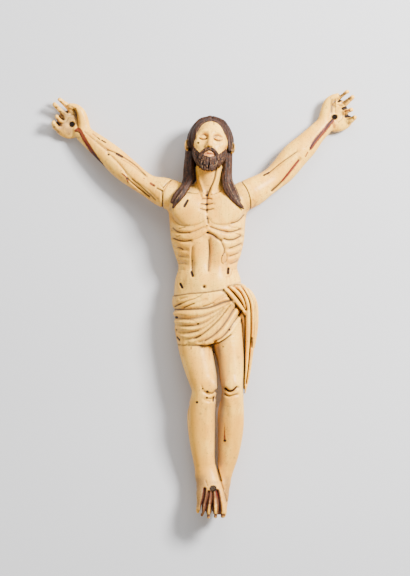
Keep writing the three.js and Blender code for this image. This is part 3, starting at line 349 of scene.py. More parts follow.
RIBS = [
    [[-31, 74], [-23, 71], [-13, 70.7], [-4, 74], [2, 76]],
    [[-31, 66], [-23, 63], [-12, 62.4]],
    [[-29, 58], [-24, 55], [-16, 54]],
    [[-27, 50], [-22, 47], [-16, 47]],
    [[-24, 42.5], [-17, 40.5]],
    [[8, 76], [17, 73], [27, 71.3], [38, 74]],
    [[19, 64], [28, 63.2], [39, 67]],
    [[25, 54.5], [32, 55.5], [38, 59]],
    [[26, 47], [32, 48.5], [37, 52]],
    [[27, 40], [34, 43]],
]

# The arch below the ribs, down the sides of the belly, and the line down its middle.
BELLY_CUTS = [
    ([[4.5, 71], [-1, 67], [-7, 63], [-10.5, 56], [-10.5, 42], [-9.5, 28]], 1.7, 0.8),
    ([[5.5, 71], [12, 67.5], [18, 63], [21.5, 55], [23, 42], [25, 29]], 1.8, 1.1),
    ([[6.5, 66], [7, 54], [6.6, 42], [5.8, 33]], 1.5, 0.9),
]


def carve_trunk(skin):
    """Trunk and neck, with their muscles, bones and navel."""
    skin.trunk(TRUNK, 3)
    skin.bar(NECK, 6)
    for x, turn in ((-14.5, -12), (23, 12)):
        skin.lump([x, 95, 40], [17, 15.5, 8.5], 5, turned(UPWARDS, turn))
    skin.scoop([6, 47, 56], [15, 24, 16], 5)
    for bar in BELLY_BARS:
        skin.bar(bar, 6)
    skin.lump([5, 23, 36], [20, 13, 8], 7)
    for line, width, depth in NECK_RIDGES:
        skin.score(line, width, depth, NECK_FLOOR)
    skin.scoop([4.3, 112.5, 47], [5, 7, 6], 2)
    for line, width, depth in BREAST_CUTS:
        skin.score(line, width, depth)
    for rib in RIBS:
        skin.score(rib, 1.7, 1.5)
    for line, width, depth in BELLY_CUTS:
        skin.score(line, width, depth)
    skin.scoop([1, 17, 46], [2.4, 2.2, 3], 1)


# Hip to ankle: the figure's right leg, which passes in front, and its left leg.
LEGS = [
    [
        [-10, -24, 23, 18, 17.5], [-8, -42, 25, 16.8, 16.5], [-4.6, -58, 27.5, 15.9, 15.5],
        [-1, -72, 30, 14.5, 14], [1.2, -84, 31.5, 12.6, 12.8], [0.6, -93, 30.5, 12.5, 12.4],
        [-1.7, -108, 26.5, 13.7, 12.8], [-1.7, -122, 23.5, 13.7, 12.4], [-0.7, -140, 21, 12.3, 11],
        [1.2, -158, 19, 10.6, 9.6], [3.8, -171, 18.5, 10.7, 9],
    ],
    [
        [23, -24, 23, 17.5, 17.5], [26, -44, 25, 14.8, 16.5], [28, -60, 27.5, 12.9, 15],
        [28.8, -74, 30, 12, 13.5], [29.7, -86, 31.5, 10.9, 12.6], [29.2, -96, 30, 11.4, 12.2],
        [28, -109, 26, 13, 12.5], [28, -122, 23, 12.8, 12], [27.1, -136, 20, 11.9, 10.6],
        [25.3, -152, 16.5, 10.1, 9], [22.2, -167, 13, 8.2, 8], [20, -179, 11.5, 7.2, 7.5],
    ],
]

# The folds of skin below the knee caps, then the edges of the shins.
LEG_CUTS = [
    ([[22.5, -84.5], [28, -88.2], [34.5, -83.5]], 1.5, 1.6),
    ([[22, -90.5], [28, -92.5], [34.5, -90.5]], 1.5, 1),
    ([[1, -87.5], [6, -90.5], [12.5, -87]], 1.5, 1.3),
    ([[1, -95], [6, -97], [12, -94]], 1.5, 0.8),
    ([[6, -100], [4.5, -126], [5.5, -158]], 3.4, -0.8),
    ([[28, -100], [27.5, -126], [24, -158]], 3.4, -0.8),
]

# The left foot lies underneath, heel down, and the right foot is nailed over it.
LEFT_FOOT = [[19.5, -180, 12, 7.4, 8], [17.4, -193, 15, 8.4, 6.5], [16, -203, 19.5, 8.2, 4.6]]
RIGHT_FOOT = [[4.5, -174, 19, 11.2, 8.8], [6.4, -184, 23.5, 12.9, 8], [8.2, -194, 28.5, 14.2, 6.6]]
BALLS_OF_FOOT = [
    [[1.5, -190, 26.5, 7.4, 6], [1.8, -204.5, 31.5, 6.8, 4.6]],
    [[14.5, -190, 27.5, 8, 6], [15.6, -204, 32, 7.6, 4.6]],
]
GREAT_TOE = [[19.3, -201, 33.5, 4], [20, -207, 34.6, 3.8], [19.6, -210.6, 34, 3.4]]
TOE_WEB = [
    [-2.4, -202.6, 26, 3, 2.4], [4, -206.4, 29, 4.2, 2.6], [12, -207, 30.6, 4.2, 2.6],
    [19, -205, 31, 3.4, 2.6],
]

TOES = [
    [[11.4, -198, 34, 2.2], [12.4, -206, 35.2, 2.6], [12.6, -212, 33.5, 2.3]],
    [[6.7, -198, 34, 2.1], [5.8, -206, 34.6, 2.6], [5.4, -212.4, 32.6, 2.2]],
    [[1.4, -196, 32.4, 2.2], [-0.2, -204, 32.8, 2.6], [-0.8, -210.4, 31.2, 2.2]],
    [[-3.4, -197, 28.4, 2.2], [-4.6, -204, 28.8, 2.3], [-4.8, -207.6, 28, 2]],
]

FOOT_HOLLOWS = [
    [[5.8, -188], [4.2, -197], [2.6, -205], [2.2, -213]],
    [[9.2, -188], [9.2, -199], [9.1, -214]],
    [[14, -187], [15.6, -196], [16.4, -205], [16, -214]],
    [[1.6, -185], [0.4, -194], [-1.2, -200.6], [-1.8, -208]],
]


def carve_legs(skin):
    """Legs, knees and feet."""
    for leg in LEGS:
        skin.bar(leg, 4)
    skin.lump([7, -82, 41], [7, 9, 4], 3)
    skin.lump([28.5, -80.5, 41], [7.5, 8.5, 4.5], 3)
    for line, width, depth in LEG_CUTS:
        skin.score(line, width, depth)
    skin.bar(LEFT_FOOT, 3)
    skin.lump([18, -184, 7], [7, 8.5, 7], 4)
    skin.bar(RIGHT_FOOT, 4)
    for ball in BALLS_OF_FOOT:
        skin.bar(ball, 2)
    skin.lump([3, -183, 11], [9, 8.5, 8], 5)
    skin.bar(GREAT_TOE, 1.2)
    skin.bar(TOE_WEB, 1)
    for toe in TOES:
        skin.bar(toe, 1)
    for gap in FOOT_HOLLOWS:
        skin.score(gap, 1.4, 1.9, FOOT_FLOOR)


# Shoulder to wrist: the right arm and the left.
ARMS = [
    [
        [-13, 103, 24, 11], [-25, 107, 26, 14], [-37, 111, 25.5, 15, 13.6], [-56, 119, 22, 11, 10.4],
        [-77, 134.4, 17.5, 12.4, 10.6], [-90.6, 146.6, 16, 12, 9.8], [-103, 157, 14.5, 10.7, 8.6],
        [-116.5, 168, 11.5, 8.8, 7.2], [-123, 174, 9.5, 8.4, 6.2],
    ],
    [
        [25, 102, 24, 11], [37, 106.5, 26, 14.2], [48.5, 111.5, 26, 14.6, 13.6], [61, 119, 23, 12.5, 11],
        [70.5, 125.5, 20, 11.9, 10.2], [80, 134, 18, 13, 10.8], [92, 148.5, 16, 13.3, 10],
        [102.5, 158.5, 14.5, 12, 8.8], [111.3, 168.4, 12.5, 10.1, 7.8], [119.5, 176.7, 10.5, 9.1, 6.6],
        [124, 181.5, 9.5, 8.8, 6],
    ],
]

# Cords and creases along the inside of each arm.
ARM_CUTS = [
    ([[-107, 163], [-95, 153.5], [-82.4, 147], [-70, 139.5], [-57, 128]], 1.7, 1),
    ([[-96, 151], [-87, 143], [-77, 131], [-63.6, 116], [-52.4, 107]], 1.7, 1),
    ([[64.6, 130.4], [72, 136.4], [82, 144], [95, 153]], 1.7, 0.8),
    ([[69, 113.5], [80, 123.5], [89, 134.5], [97, 145]], 1.7, 1.5),
]


def carve_arms(skin):
    """Arms, with the swelling of the left shoulder."""
    for arm in ARMS:
        skin.bar(arm, 5)
    skin.lump([42.4, 105, 24], [7.6, 11, 10.5], 4)
    for line, width, depth in ARM_CUTS:
        skin.score(line, width, depth, ARM_FLOOR)


# Each finger from the palm to its tip. A hand lies on its back, and the fingers curl up off the palm.
RIGHT_FINGERS = [
    [[-129.5, 192, 8, 3.4], [-137, 199, 9.5, 2.9], [-143.8, 204.8, 12.5, 2.3]],
    [[-134.5, 188, 8, 3.4], [-142.5, 194.4, 10.5, 3], [-148.7, 200.2, 14, 2.4]],
    [[-138.5, 182.5, 8, 3.2], [-144, 185, 13, 2.9], [-146, 187.8, 17.5, 2.4]],
    [[-142.5, 175.5, 8, 3.8], [-148, 178.2, 12.5, 3.4], [-149.4, 181.4, 17, 2.7]],
]
LEFT_FINGERS = [
    [[133.5, 200.2, 8, 3.4], [139, 207, 10.5, 2.9], [144.6, 212.5, 14, 2.3]],
    [[138, 197, 8, 3.3], [144, 202.4, 11, 2.9], [149.8, 207.4, 15, 2.3]],
    [[140, 192, 8, 3.2], [144.6, 193, 13, 2.8], [148.6, 194.7, 17, 2.2]],
    [[142.5, 184.5, 8, 3.8], [148.3, 184.4, 12.5, 3.1], [152, 187.1, 16.5, 2.3]],
]
RIGHT_THUMB = [
    [-118.4, 173, 9, 5.6], [-120.6, 183.5, 10, 5.9], [-123, 192.2, 11.5, 4.7], [-128, 197.1, 12.5, 3.7],
    [-133, 198.8, 13.5, 2.7],
]
LEFT_THUMB = [
    [120.8, 182, 9, 5.4], [123.2, 193, 10, 5.4], [126, 201.6, 11.5, 4.9], [130, 206, 12.5, 4],
    [134.8, 208.8, 13.5, 2.7],
]


def carve_hand(skin, palm, edge, thumb, fingers, crease, hollow):
    """A hand. Its palm and the edge beside the little finger are each a place, radii and a turn."""
    for (place, radii, turn), soft in ((palm, 3), (edge, 2)):
        skin.lump(place, radii, soft, turned(UPWARDS, turn))
    skin.bar(thumb, 2)
    for finger in fingers:
        skin.bar(finger, 1.2)
    skin.score(crease, 1.8, 2.2, ARM_FLOOR)
    skin.scoop(hollow, [7, 6, 4.5], 2)


def carve_hands(skin):
    """The right hand, then the left, each with the palm up."""
    carve_hand(
        skin,
        palm=([-133, 181.5, 6], [15, 11.5, 5.9], 131),
        edge=([-138.5, 175.4, 6.4], [12.5, 7.8, 6.2], 148),
        thumb=RIGHT_THUMB,
        fingers=RIGHT_FINGERS,
        crease=[[-125.5, 177], [-127.2, 186], [-129.5, 194.5]],
        hollow=[-132.5, 183, 14.5],
    )
    carve_hand(
        skin,
        palm=([133.5, 188.5, 6], [15, 11.5, 5.9], 49),
        edge=([139, 181.5, 6.4], [12.5, 7.5, 6.2], 27),
        thumb=LEFT_THUMB,
        fingers=LEFT_FINGERS,
        crease=[[126.5, 185], [128.5, 195], [131, 202.5]],
        hollow=[134, 191, 14.5],
    )


# The face is a general calm one: eyes half way up, then thirds from hairline to brow, nose and chin.
# Places are across, up and forwards from the middle of the head.
BROW = [[1.5, 4.8, 18.2, 1.7], [7, 6.5, 17.4, 1.8], [12.5, 3.6, 13.8, 1.7]]
NOSE = [[0, 4.5, 17.4, 1.8], [0, -3, 20.6, 2], [0, -9.6, 22.6, 2.6]]
UPPER_LIP = [[-4.8, -17.2, 16, 1], [0, -16.4, 18.4, 1.4], [4.8, -17.2, 16, 1]]
LOWER_LIP = [[-4, -19.2, 15.8, 1], [0, -20, 17.8, 1.7], [4, -19.2, 15.8, 1]]


def carve_head(skin):
    """Skull, jaw, chin, cheeks, eyes, nose, ears and lips."""

    def lump(place, radii, soft):
        skin.lump(*on_head([place]), radii, soft, HEAD_TURN)

    def scoop(place, radii, soft):
        skin.scoop(*on_head([place]), radii, soft, HEAD_TURN)

    lump([0, 7, -3], [18.6, 20.5, 23], 3)
    lump([0, -7, 4.5], [15.6, 20, 15], 6)
    lump([0, -18, 7], [12, 9.5, 10], 5)
    lump([0, -25, 12.6], [5.6, 4.6, 4.6], 4)
    for side in (-1, 1):
        lump([side * 10.6, -4.5, 13], [4.6, 4, 4], 4)
        scoop([side * 7.3, 0.6, 20.8], [5.6, 4.4, 6], 1.5)
        lump([side * 7.2, 0.3, 13], [4.3, 3.4, 4.4], 0.6)
        lump([side * 2.7, -10.4, 18.6], [2, 1.9, 2.6], 1.2)
        lump([side * 22.8, -0.6, -1], [2.7, 6.2, 4.2], 1.5)
    for side in (1, -1):
        skin.bar(on_side(side, BROW), 3)
    skin.bar(on_head(NOSE), 1.6)
    skin.bar(on_head(UPPER_LIP), 0.6)
    skin.bar(on_head(LOWER_LIP), 0.6)
    scoop([0, -18.1, 20.4], [4.6, 0.8, 2.4], 0.4)


# Locks from the parting round the temples to the ears, on one side.
FRONT_LOCK = [[1.6, 26.4, 8.6, 2.8], [12.4, 21.6, 8.8, 3], [19, 9, 5, 2.8], [20.2, -3, 1, 2.6]]
CROWN_LOCK = [[1.4, 28.3, 1, 2.8], [13.6, 22.6, 0, 3.4], [20, 11, -3, 3.4], [20.6, 3.5, -6, 3]]

# The mass of hair down the nape.
NAPE_HAIR = [[6.5, 154, 19, 19, 11], [6, 134, 17, 17.5, 10], [5, 116, 17, 19, 9]]

# Long locks from behind the ears to the front of the shoulders.
LONG_LOCKS = [
    [[-13, 158, 25, 4.7, 7], [-13.8, 139, 30, 5.2, 9], [-14.6, 126, 33, 5.2, 8], [-17.2, 116, 37, 4, 6]],
    [[-14.4, 153, 28, 3], [-16.8, 138, 33, 2.8], [-17.8, 124, 37.5, 2.8], [-21.5, 114, 42, 3]],
    [[-11.6, 140, 33, 2.8], [-11.6, 128, 37, 2.8], [-15.5, 118, 41, 2.9], [-20.5, 109, 44, 3]],
    [[-19.5, 117, 41, 3], [-26.5, 109, 43, 3.2], [-30.2, 102.5, 43.5, 2.6]],
    [[-18, 115, 42, 3.2], [-23, 106.5, 45, 3.4], [-27.5, 100.5, 45.5, 2.4], [-30, 96.2, 45.5, 1.1]],
    [[25, 155, 25, 4.7, 7], [24.4, 139, 30, 5, 9], [23.6, 127, 33, 5.2, 8], [25.4, 116, 37, 5, 6]],
    [[27, 151, 28, 2.8], [26.8, 137, 33, 2.7], [27, 124, 38, 2.9], [31.6, 113.4, 43, 2.8],
        [35.5, 104, 45.5, 2.4]],
    [[21.6, 140, 33, 2.6], [20.8, 127, 37.5, 2.6], [22.4, 116, 42.5, 2.9], [28.5, 106, 45.5, 2.8],
        [35, 100, 46.5, 2.2], [40.2, 95.4, 45.5, 1]],
    [[24, 134, 35, 2.8], [23.4, 122, 40, 3], [27, 112, 44.5, 3], [33.5, 103, 46, 2.6],
        [39, 97.5, 45.5, 1.4]],
]


def carve_hair(hair):
    """A cap of hair, open round the face, and its locks."""
    hair.lump(*on_head([[-1.6, 8, -4]]), [21.2, 22.4, 25], 1, HEAD_TURN)
    hair.scoop(*on_head([[0, -8, 22]]), [18.2, 28.5, 18.5], 1.5, HEAD_TURN)
    hair.scoop(*on_head([[0, -24, 4]]), [13, 12, 20], 1.5, HEAD_TURN)
    for lock in (FRONT_LOCK, CROWN_LOCK):
        for side in (1, -1):
            hair.bar(on_side(side, lock), 1.2, 2)
    hair.bar(NAPE_HAIR, 4)
    hair.score(on_head([[0, 20, 0], [0, 26, 12]]), 1.4, 0.5, HEAD_FLOOR)
    for lock in LONG_LOCKS:
        hair.bar(lock, 1, 2)


# A short full beard round the mouth, forked at the chin, and a moustache that runs down into it.
# It swells over cheeks, jaw and chin, each at a height and a distance forwards on the head, with its radii.
BEARD_EGGS = [
    ((-9, 4.6), (16.4, 20.6, 15.2)),
    ((-19, 7.4), (12.8, 10.4, 10.8)),
    ((-26.4, 12.4), (7.6, 6.4, 6.8)),
]

# The beard's upper edge, from the lip to the ear, how far back it goes, half the box that it is cut in,
# and the opening round the mouth.
BEARD_EDGE = [
    [0, -13.4], [4, -13.6], [7, -15], [9, -16.6], [11, -14.8], [13.6, -10.6], [15.6, -5], [17.5, 2],
]
BEARD_BACK = -2
BEARD_ROOM = np.array([24, 44, 34])
MOUTH_UP = -18.3
MOUTH_HALF_HEIGHT = 2.8
MOUTH_STRETCH = 2.2

# Each lock of one side, how softly it joins, and how many strands it has: first the moustache.
BEARD_LOCKS = [
    ([[0.8, -13.4, 20, 1.5], [4.4, -14.2, 19, 2], [7.8, -17.4, 16.4, 1.9], [9.2, -21.6, 14.4, 1.7]], 0.8, 2),
    ([[16, -6, 1, 1.6], [14.2, -14, 4, 2.2], [11, -20.6, 8, 2.8], [6.6, -25.6, 12, 3.2]], 2, 0),
    ([[6.4, -23, 12.5, 2.6], [5.6, -28.6, 14, 3.3], [4.2, -32.6, 15.4, 2.8], [1.8, -33.8, 17, 1.8]], 1, 2),
    ([[1.8, -23.6, 15.6, 1.8], [2.8, -28, 17.4, 2.4], [1.9, -31.8, 18.2, 1.8]], 1, 2),
]


def carve_beard(beard):
    """The beard with its locks, cut away above its edge and round the mouth."""
    for (up, forwards), radii in BEARD_EGGS:
        beard.lump(*on_head([[0, up, forwards]]), radii, 3, HEAD_TURN)

    def bare_skin(x, y, z):
        away = (x - HEAD_MIDDLE[0], y - HEAD_MIDDLE[1], z - HEAD_MIDDLE[2])
        across, up, forwards = (sum(HEAD_TURN[j][i] * away[j] for j in range(3)) for i in range(3))
        mouth = MOUTH_HALF_HEIGHT - np.hypot(across / MOUTH_STRETCH, up - MOUTH_UP)
        above = up - level_at(BEARD_EDGE, np.abs(across))
        return np.maximum(np.maximum(above, mouth), BEARD_BACK - forwards)

    beard.trim(HEAD_MIDDLE - BEARD_ROOM, HEAD_MIDDLE + BEARD_ROOM, bare_skin)
    for side in (-1, 1):
        for lock, soft, strands in BEARD_LOCKS:
            beard.bar(on_side(side, lock), soft, strands)


# The loincloth: a wrap round the hips, its upper edge rolled into a band, gathered into a knot at one hip.
WRAP = [
    [15, 4.6, 34.2, 0.4, 45.6],
    [0, 4.5, 34.2, 0, 46.4],
    [-14, 5, 33.2, 0, 46.4],
    [-28, 6.3, 33, 0, 46],
    [-46, 8, 32.2, 1.5, 44.5],
]
WRAP_TOP = [[-31, 9], [-13, 10.4], [7, 12], [21, 14], [33, 18.5], [43, 18.5]]
WRAP_HEM = [
    [-31, -40], [-13, -40.8], [3, -41], [11, -39], [19, -36], [27, -31], [33, -26],
    [38, -17], [43, -8],
]
HEM_BEHIND = -40
HEM_TURN = 22  # the height on the flank where the front's hem gives way to the level one behind

# Creases across the rolled band.
BAND_CREASES = [
    ([[-29, -3], [-20, 0.6], [-3, 6.6]], 1.3, 1.1),
    ([[-18, -4], [-9, 0], [3, 4.5]], 1.3, 1),
    ([[-1, -3.5], [10, 1], [25, 7.5]], 1.3, 1.1),
    ([[-23, 5.2], [-7, 8.2]], 1.2, 0.8),
]

# Folds raked from the thigh up to the knot, and the hollows between them.
FOLDS = [
    [[-31, -9.6], [-13, -10], [1, -8.4], [15, -3.4], [29, 3.4]],
    [[-30, -17.6], [-16, -18.6], [-3, -17], [9, -11.4], [20, -3.6], [30, 3]],
    [[-28, -24], [-13, -25], [-2, -23], [8, -16.6], [19, -7.4], [30, 2]],
    [[-27, -30], [-16, -33], [-6, -30.4], [3, -25], [11, -18.4], [20, -9.6], [29, 0]],
    [[-13, -37.8], [-3, -34.4], [6, -28.4], [15, -19.6], [23, -9.6], [31, 0]],
    [[3, -38.8], [14, -32.4], [23, -23.4], [30, -13], [36.4, -3.6]],
    [[15, -37], [26.6, -29.4], [35, -18.6], [40.6, -8]],
]

HOLLOWS = [
    [[-29, -14], [-15, -14.8], [-1, -12.8], [13, -7], [26, 1]],
    [[-28, -21], [-15, -22], [-3, -20.4], [8, -14.4], [20, -5]],
    [[-27, -27], [-19, -29.2], [-7, -27.2], [2, -23], [10, -16.8], [19, -7.6]],
    [[-19, -36], [-7, -33.4], [2, -28], [10, -21], [18, -13.2], [26, -3]],
    [[-4, -38], [3, -36], [10, -31.6], [18, -24], [24.6, -15], [30, -6.4]],
    [[11, -37.6], [18, -34], [25, -26.6], [31, -18], [35, -11.6]],
]

# The gathered swag, and the thick part that keeps its hanging end on the thigh.
PLEATS = [
    [[22.4, 14.4, 42, 2.4], [28.4, 8.6, 41.4, 3], [34.6, 0.4, 38.8, 2.9], [41.4, -9.4, 35, 2]],
    [[27, 16.6, 41.6, 2.4], [34, 11.8, 41.4, 2.9], [39, 4.6, 39.6, 2.9], [42.4, -4.4, 37.2, 2.4],
        [43.8, -15, 34.6, 1.6]],
    [[31.6, 17.2, 39.6, 2.4], [38.6, 13.8, 40, 2.9], [43.4, 5.4, 38.8, 2.9], [45.4, -6, 37, 2.9],
        [45.3, -28, 34, 2.9], [44.6, -46, 31, 2.7], [43.4, -68, 28, 2.3], [41.8, -88.6, 26.6, 1.2]],
    [[35.4, 17.2, 36, 2.6], [42.8, 13.6, 37, 3.1], [48, 4.6, 36, 3], [50.2, -8, 34.6, 2.9],
        [50.2, -28, 32, 2.8], [48, -48, 29, 2.5], [45.8, -66, 26.8, 2.1], [43.2, -82, 26, 1.4]],
    [[36, 16, 29, 3], [45, 12.2, 30.5, 3.3], [51.2, 1.6, 30, 3], [53.2, -12, 29, 2.5],
        [52.2, -28, 27.4, 2.5], [50, -43, 25.6, 2]],
]
HANGING_END = [
    [36, 12, 28, 9, 12.6], [43, -1, 26, 8.4, 12], [46, -20, 24.5, 6.9, 10.4],
    [45.4, -36, 23, 5.8, 9.4], [44, -52, 22, 4.8, 8.2], [42.6, -68, 22, 3.8, 6.6],
    [41.6, -84, 23.6, 2, 3.4],
]

# Cuts between the pleats, down to where the pleats run out.
GATHERS = [
    [[26, 16.4], [30, 12], [34, 7.4], [38, 2.6], [40.6, -2], [42.6, -6.6]],
    [[30.6, 17.6], [36, 13.4], [39.6, 7.8], [42, 1], [43.6, -5.6]],
    [[38, 17.6], [41.4, 12.6], [44.8, 6], [47.2, -2], [47.8, -16], [47.8, -30], [46.6, -48],
        [45.2, -64], [43, -80]],
]
OUTER_GATHER = [[43, 16.4], [47.2, 10.2], [50, 3], [51.5, -5], [51.7, -18], [50.8, -32], [49.2, -44]]


def carve_cloth(cloth):
    """The loincloth with its band, folds and swag."""

    def outside(x, y, z):
        hem = np.where(z < HEM_TURN, HEM_BEHIND, level_at(WRAP_HEM, x))
        return np.maximum(y - level_at(WRAP_TOP, x), hem - y)

    cloth.trunk(WRAP, 1, outside)
    cloth.score([[-31, 2], [-13, 3.4], [3, 5], [19, 9], [28, 13]], 6.5, -1.2, BAND_FLOOR)
    cloth.score([[-32, -5.8], [-13, -5], [2, -4], [12, -2], [21, 1.5], [30, 4]], 1.6, 2, BAND_FLOOR)
    for line, width, depth in BAND_CREASES:
        cloth.score(line, width, depth)
    for fold in FOLDS:
        cloth.score(fold, 2.3, -1.9)
    for hollow in HOLLOWS:
        # Stain with painted shade in the hollows between the folds.
        cloth.score(hollow, 1.5, 1.3, stain_and_shade=0.55)
    for pleat in PLEATS:
        cloth.bar(pleat, 0.9)
    cloth.bar(HANGING_END, 2)
    for gather in GATHERS:
        cloth.score(gather, 1.1, 1.1)
    cloth.score(OUTER_GATHER, 1, 0.5)


# Finer carving, which only the eye needs.
SLITS = [
    [[-15.4, 103.2], [-17, 100.4], [-18.6, 97.4]],
    [[-11.5, 32], [-10.3, 28]],
    [[25.3, 35.4], [24.9, 30.6]],
    [[-22.6, 20], [-20.7, 16.4]],
]

# Each line of the breast and belly, its width, and how strongly it is cut and stained.
TRUNK_LINES = [
    ([[-31, 87], [-28, 82.6], [-23, 79], [-15, 78], [-6, 79.4], [1, 83]], 1.1, 0.45),
    ([[-24, 75.2], [-21, 76], [-18, 76.4]], 0.9, 0.7),
    ([[-30, 76], [-25, 72.2], [-19, 71], [-13.4, 71.2]], 1.1, 0.75),
    ([[-14, 71.2], [-8, 72.8], [-3, 75], [1, 76.8]], 1, 0.5),
    ([[-26, 67.2], [-23, 68.2]], 0.9, 0.6),
    ([[-19, 68], [-15, 67.2]], 0.9, 0.35),
    ([[-29, 65.6], [-24, 63.6], [-18, 62.6], [-12, 63.4]], 1.1, 0.8),
    ([[-12, 63.4], [-4, 66], [1, 69.4], [4, 71]], 1, 0.4),
    ([[-28, 61.4], [-24, 60.4]], 0.9, 0.45),
    ([[-25, 56.6], [-22, 55.8], [-20, 54.4]], 1, 0.8),
    ([[-24, 48], [-19, 47.8]], 1, 0.6),
    ([[-25, 40.2], [-20, 40.6]], 1, 0.5),
    ([[-23, 34.6], [-19, 34.2]], 0.9, 0.4),
    ([[-10.8, 57], [-11.4, 49], [-11, 41], [-11, 33]], 1, 0.6),
    ([[6.4, 85], [9, 81.6], [14, 79.4], [22, 79.4], [29, 80.6]], 1, 0.45),
    ([[28, 80.4], [33, 82], [37, 84.6], [40.6, 89]], 1, 0.8),
    ([[26, 78], [30, 76.4], [34, 76.4], [37, 75]], 0.9, 0.5),
    ([[7, 77], [12, 75.2], [18, 73.2], [24, 72]], 1.1, 0.7),
    ([[23, 72], [28, 72], [33, 73.4], [37, 75]], 1.1, 0.8),
    ([[33, 70.4], [37.4, 69.4]], 0.9, 0.7),
    ([[21, 65.2], [25, 64], [30, 64.4], [34, 66], [37.6, 68.2]], 1.2, 0.85),
    ([[33, 62.6], [37, 63.2]], 0.8, 0.4),
    ([[26.4, 55.8], [30, 57], [34, 58.6], [37.4, 60.4]], 1, 0.75),
    ([[26.6, 47.8], [30, 49], [35, 51]], 1, 0.65),
    ([[27, 40], [31, 41.4], [34, 43]], 1, 0.55),
    ([[31, 34.6], [33.4, 36]], 0.9, 0.4),
    ([[5, 71], [10, 68.8], [14.6, 65.2], [17.6, 63.4]], 1.2, 0.9),
    ([[17.6, 63.4], [19.6, 59], [21.2, 55], [21.4, 51]], 1, 0.75),
    ([[5.6, 64], [6.4, 54], [6, 46], [5.6, 40], [5.4, 33]], 1.1, 0.75),
    ([[20.6, 50.4], [18.8, 47], [18.6, 42], [20.4, 40]], 0.8, 0.8),
    ([[23.6, 49.4], [24, 45], [22, 41.4]], 0.8, 0.6),
    ([[-16, 111.6], [-10.4, 110.4], [-5, 110.6]], 0.9, 0.6),
    ([[7.6, 109], [13, 110.4], [18.6, 113]], 0.9, 0.6),
    ([[-8.6, 132], [-6, 120], [-2, 108]], 0.9, 0.45),
    ([[13, 134], [11, 124], [7, 115], [4.4, 108]], 1.1, 0.95),
    ([[-1, 104.8], [4, 105.2], [8.6, 104.8]], 0.8, 0.75),
    ([[-2, 100], [4, 99.2], [9.4, 100.2]], 0.8, 0.85),
    ([[-2.6, 95], [4, 93.6], [10, 95]], 0.8, 0.85),
    ([[4, 112], [4, 104], [3.8, 98], [4, 91.4]], 1.1, 0.9),
    ([[4.2, 87], [4.8, 84], [5, 80.6]], 1.1, 0.9),
    ([[9, 122], [1, 120]], 0.6, 0.15),
]


def finish_trunk(skin):
    """The ribs and muscles drawn sharper, with brown stain in their lines, and the painted wounds' slits."""
    for line, width, amount in TRUNK_LINES:
        skin.engrave(line, width, amount)
    for slit in SLITS:
        skin.score(slit, 1, 1.2)


# Creases and cracks along the arms, at the knees and down the shins.
LIMB_LINES = [
    ([[-119, 173], [-108, 163.4], [-96, 153.6]], 1.2, 0.5),
    ([[-111, 170], [-103, 164], [-95, 158]], 0.8, 0.2),
    ([[-96, 154.4], [-87, 151], [-77.4, 145.4], [-67.4, 138.4], [-58, 129]], 1, 0.7),
    ([[-82, 145], [-73.6, 140.6], [-65, 134], [-56, 127]], 0.8, 0.5),
    ([[-95, 151], [-86, 142], [-79, 134], [-75, 126]], 0.8, 0.4),
    ([[-76, 126], [-68, 118.6], [-60, 112.6], [-53.6, 107.6]], 1, 0.9),
    ([[-71, 125], [-62, 117.6], [-53.4, 110], [-47.4, 104]], 0.9, 0.75),
    ([[-66, 121.6], [-55, 114.4], [-44.6, 104]], 0.7, 0.45),
    ([[64, 130], [70, 134.6], [76, 139.6], [84, 145.4], [94, 152.4]], 1, 0.7),
    ([[72, 134], [80, 140.4], [91, 148.4]], 0.8, 0.3),
    ([[73, 135], [85, 143]], 0.7, 0.2),
    ([[102, 156], [111, 164], [119, 174], [125, 182]], 1, 0.25),
    ([[68.6, 113.4], [76, 120], [84, 129], [90, 137], [95.6, 144]], 1.3, 0.9),
    ([[-46, 115.6], [-40, 112.6]], 1, 0.9),
    ([[-41, 113], [-40.6, 105], [-40.6, 97]], 1, 0.9),
    ([[-40, 116], [-36.6, 120], [-32, 123.6]], 0.9, 0.8),
    ([[-43, 119.4], [-40, 115.4]], 0.7, 0.5),
    ([[5.6, -88.4], [9.4, -89], [12.4, -86]], 0.9, 0.75),
    ([[4, -93.6], [8, -94.4], [10.4, -93]], 0.9, 0.7),
    ([[10.4, -93], [10.2, -97.4]], 1, 0.9),
    ([[-1.6, -81], [-0.4, -84.6]], 0.8, 0.5),
    ([[22.6, -84], [26, -86.6], [29.4, -86], [33.4, -82.6]], 1.2, 1),
    ([[21.8, -89.4], [25.4, -92], [29, -91], [33.6, -90]], 1, 0.75),
    ([[33, -105], [35.4, -100]], 0.8, 0.35),
    ([[-13.6, -100], [-14.4, -108], [-14, -116]], 0.8, 0.5),
    ([[13.6, -159], [14.6, -166], [16.6, -173], [17.8, -177]], 1.3, 1),
    ([[17.8, -177], [19.8, -184], [22, -191], [23.8, -198]], 1, 0.7),
    ([[2.6, -176.6], [4.6, -182]], 0.9, 0.5),
]


def finish_limbs(skin):
    """The lines of the limbs, cut with a point and stained."""
    for line, width, amount in LIMB_LINES:
        skin.engrave(line, width, amount, LIMB_FLOOR)


# Lines of one side of the face, with width, depth and stain: between the lids, over them, under the eye,
# the ridge of the brow.
EYE_LINES = [
    ([[3.2, 0, 16.4], [5.2, -1.6, 17], [7.2, -2.1, 17], [9.4, -1.6, 16], [11.8, 0.2, 15]], 0.6, 0.9, 0.7),
    ([[3.4, 2.6, 16.4], [7, 4, 16.8], [11, 2.4, 15]], 0.8, 0.7, 0.35),
    ([[4.4, -4.4, 15.6], [7.4, -5.2, 15.6], [10.4, -4, 14.6]], 0.9, 0.4, 0.12),
    ([[2, 6, 17.6], [6, 7.6, 17.4], [11.6, 5.8, 14.6]], 1.2, -0.5, 0),
]
LID = [[3.6, 0.2, 16.4, 0.5], [7.2, -1, 17.6, 0.7], [11.2, 0.2, 15.4, 0.5]]
BROW_HAIRS = 6

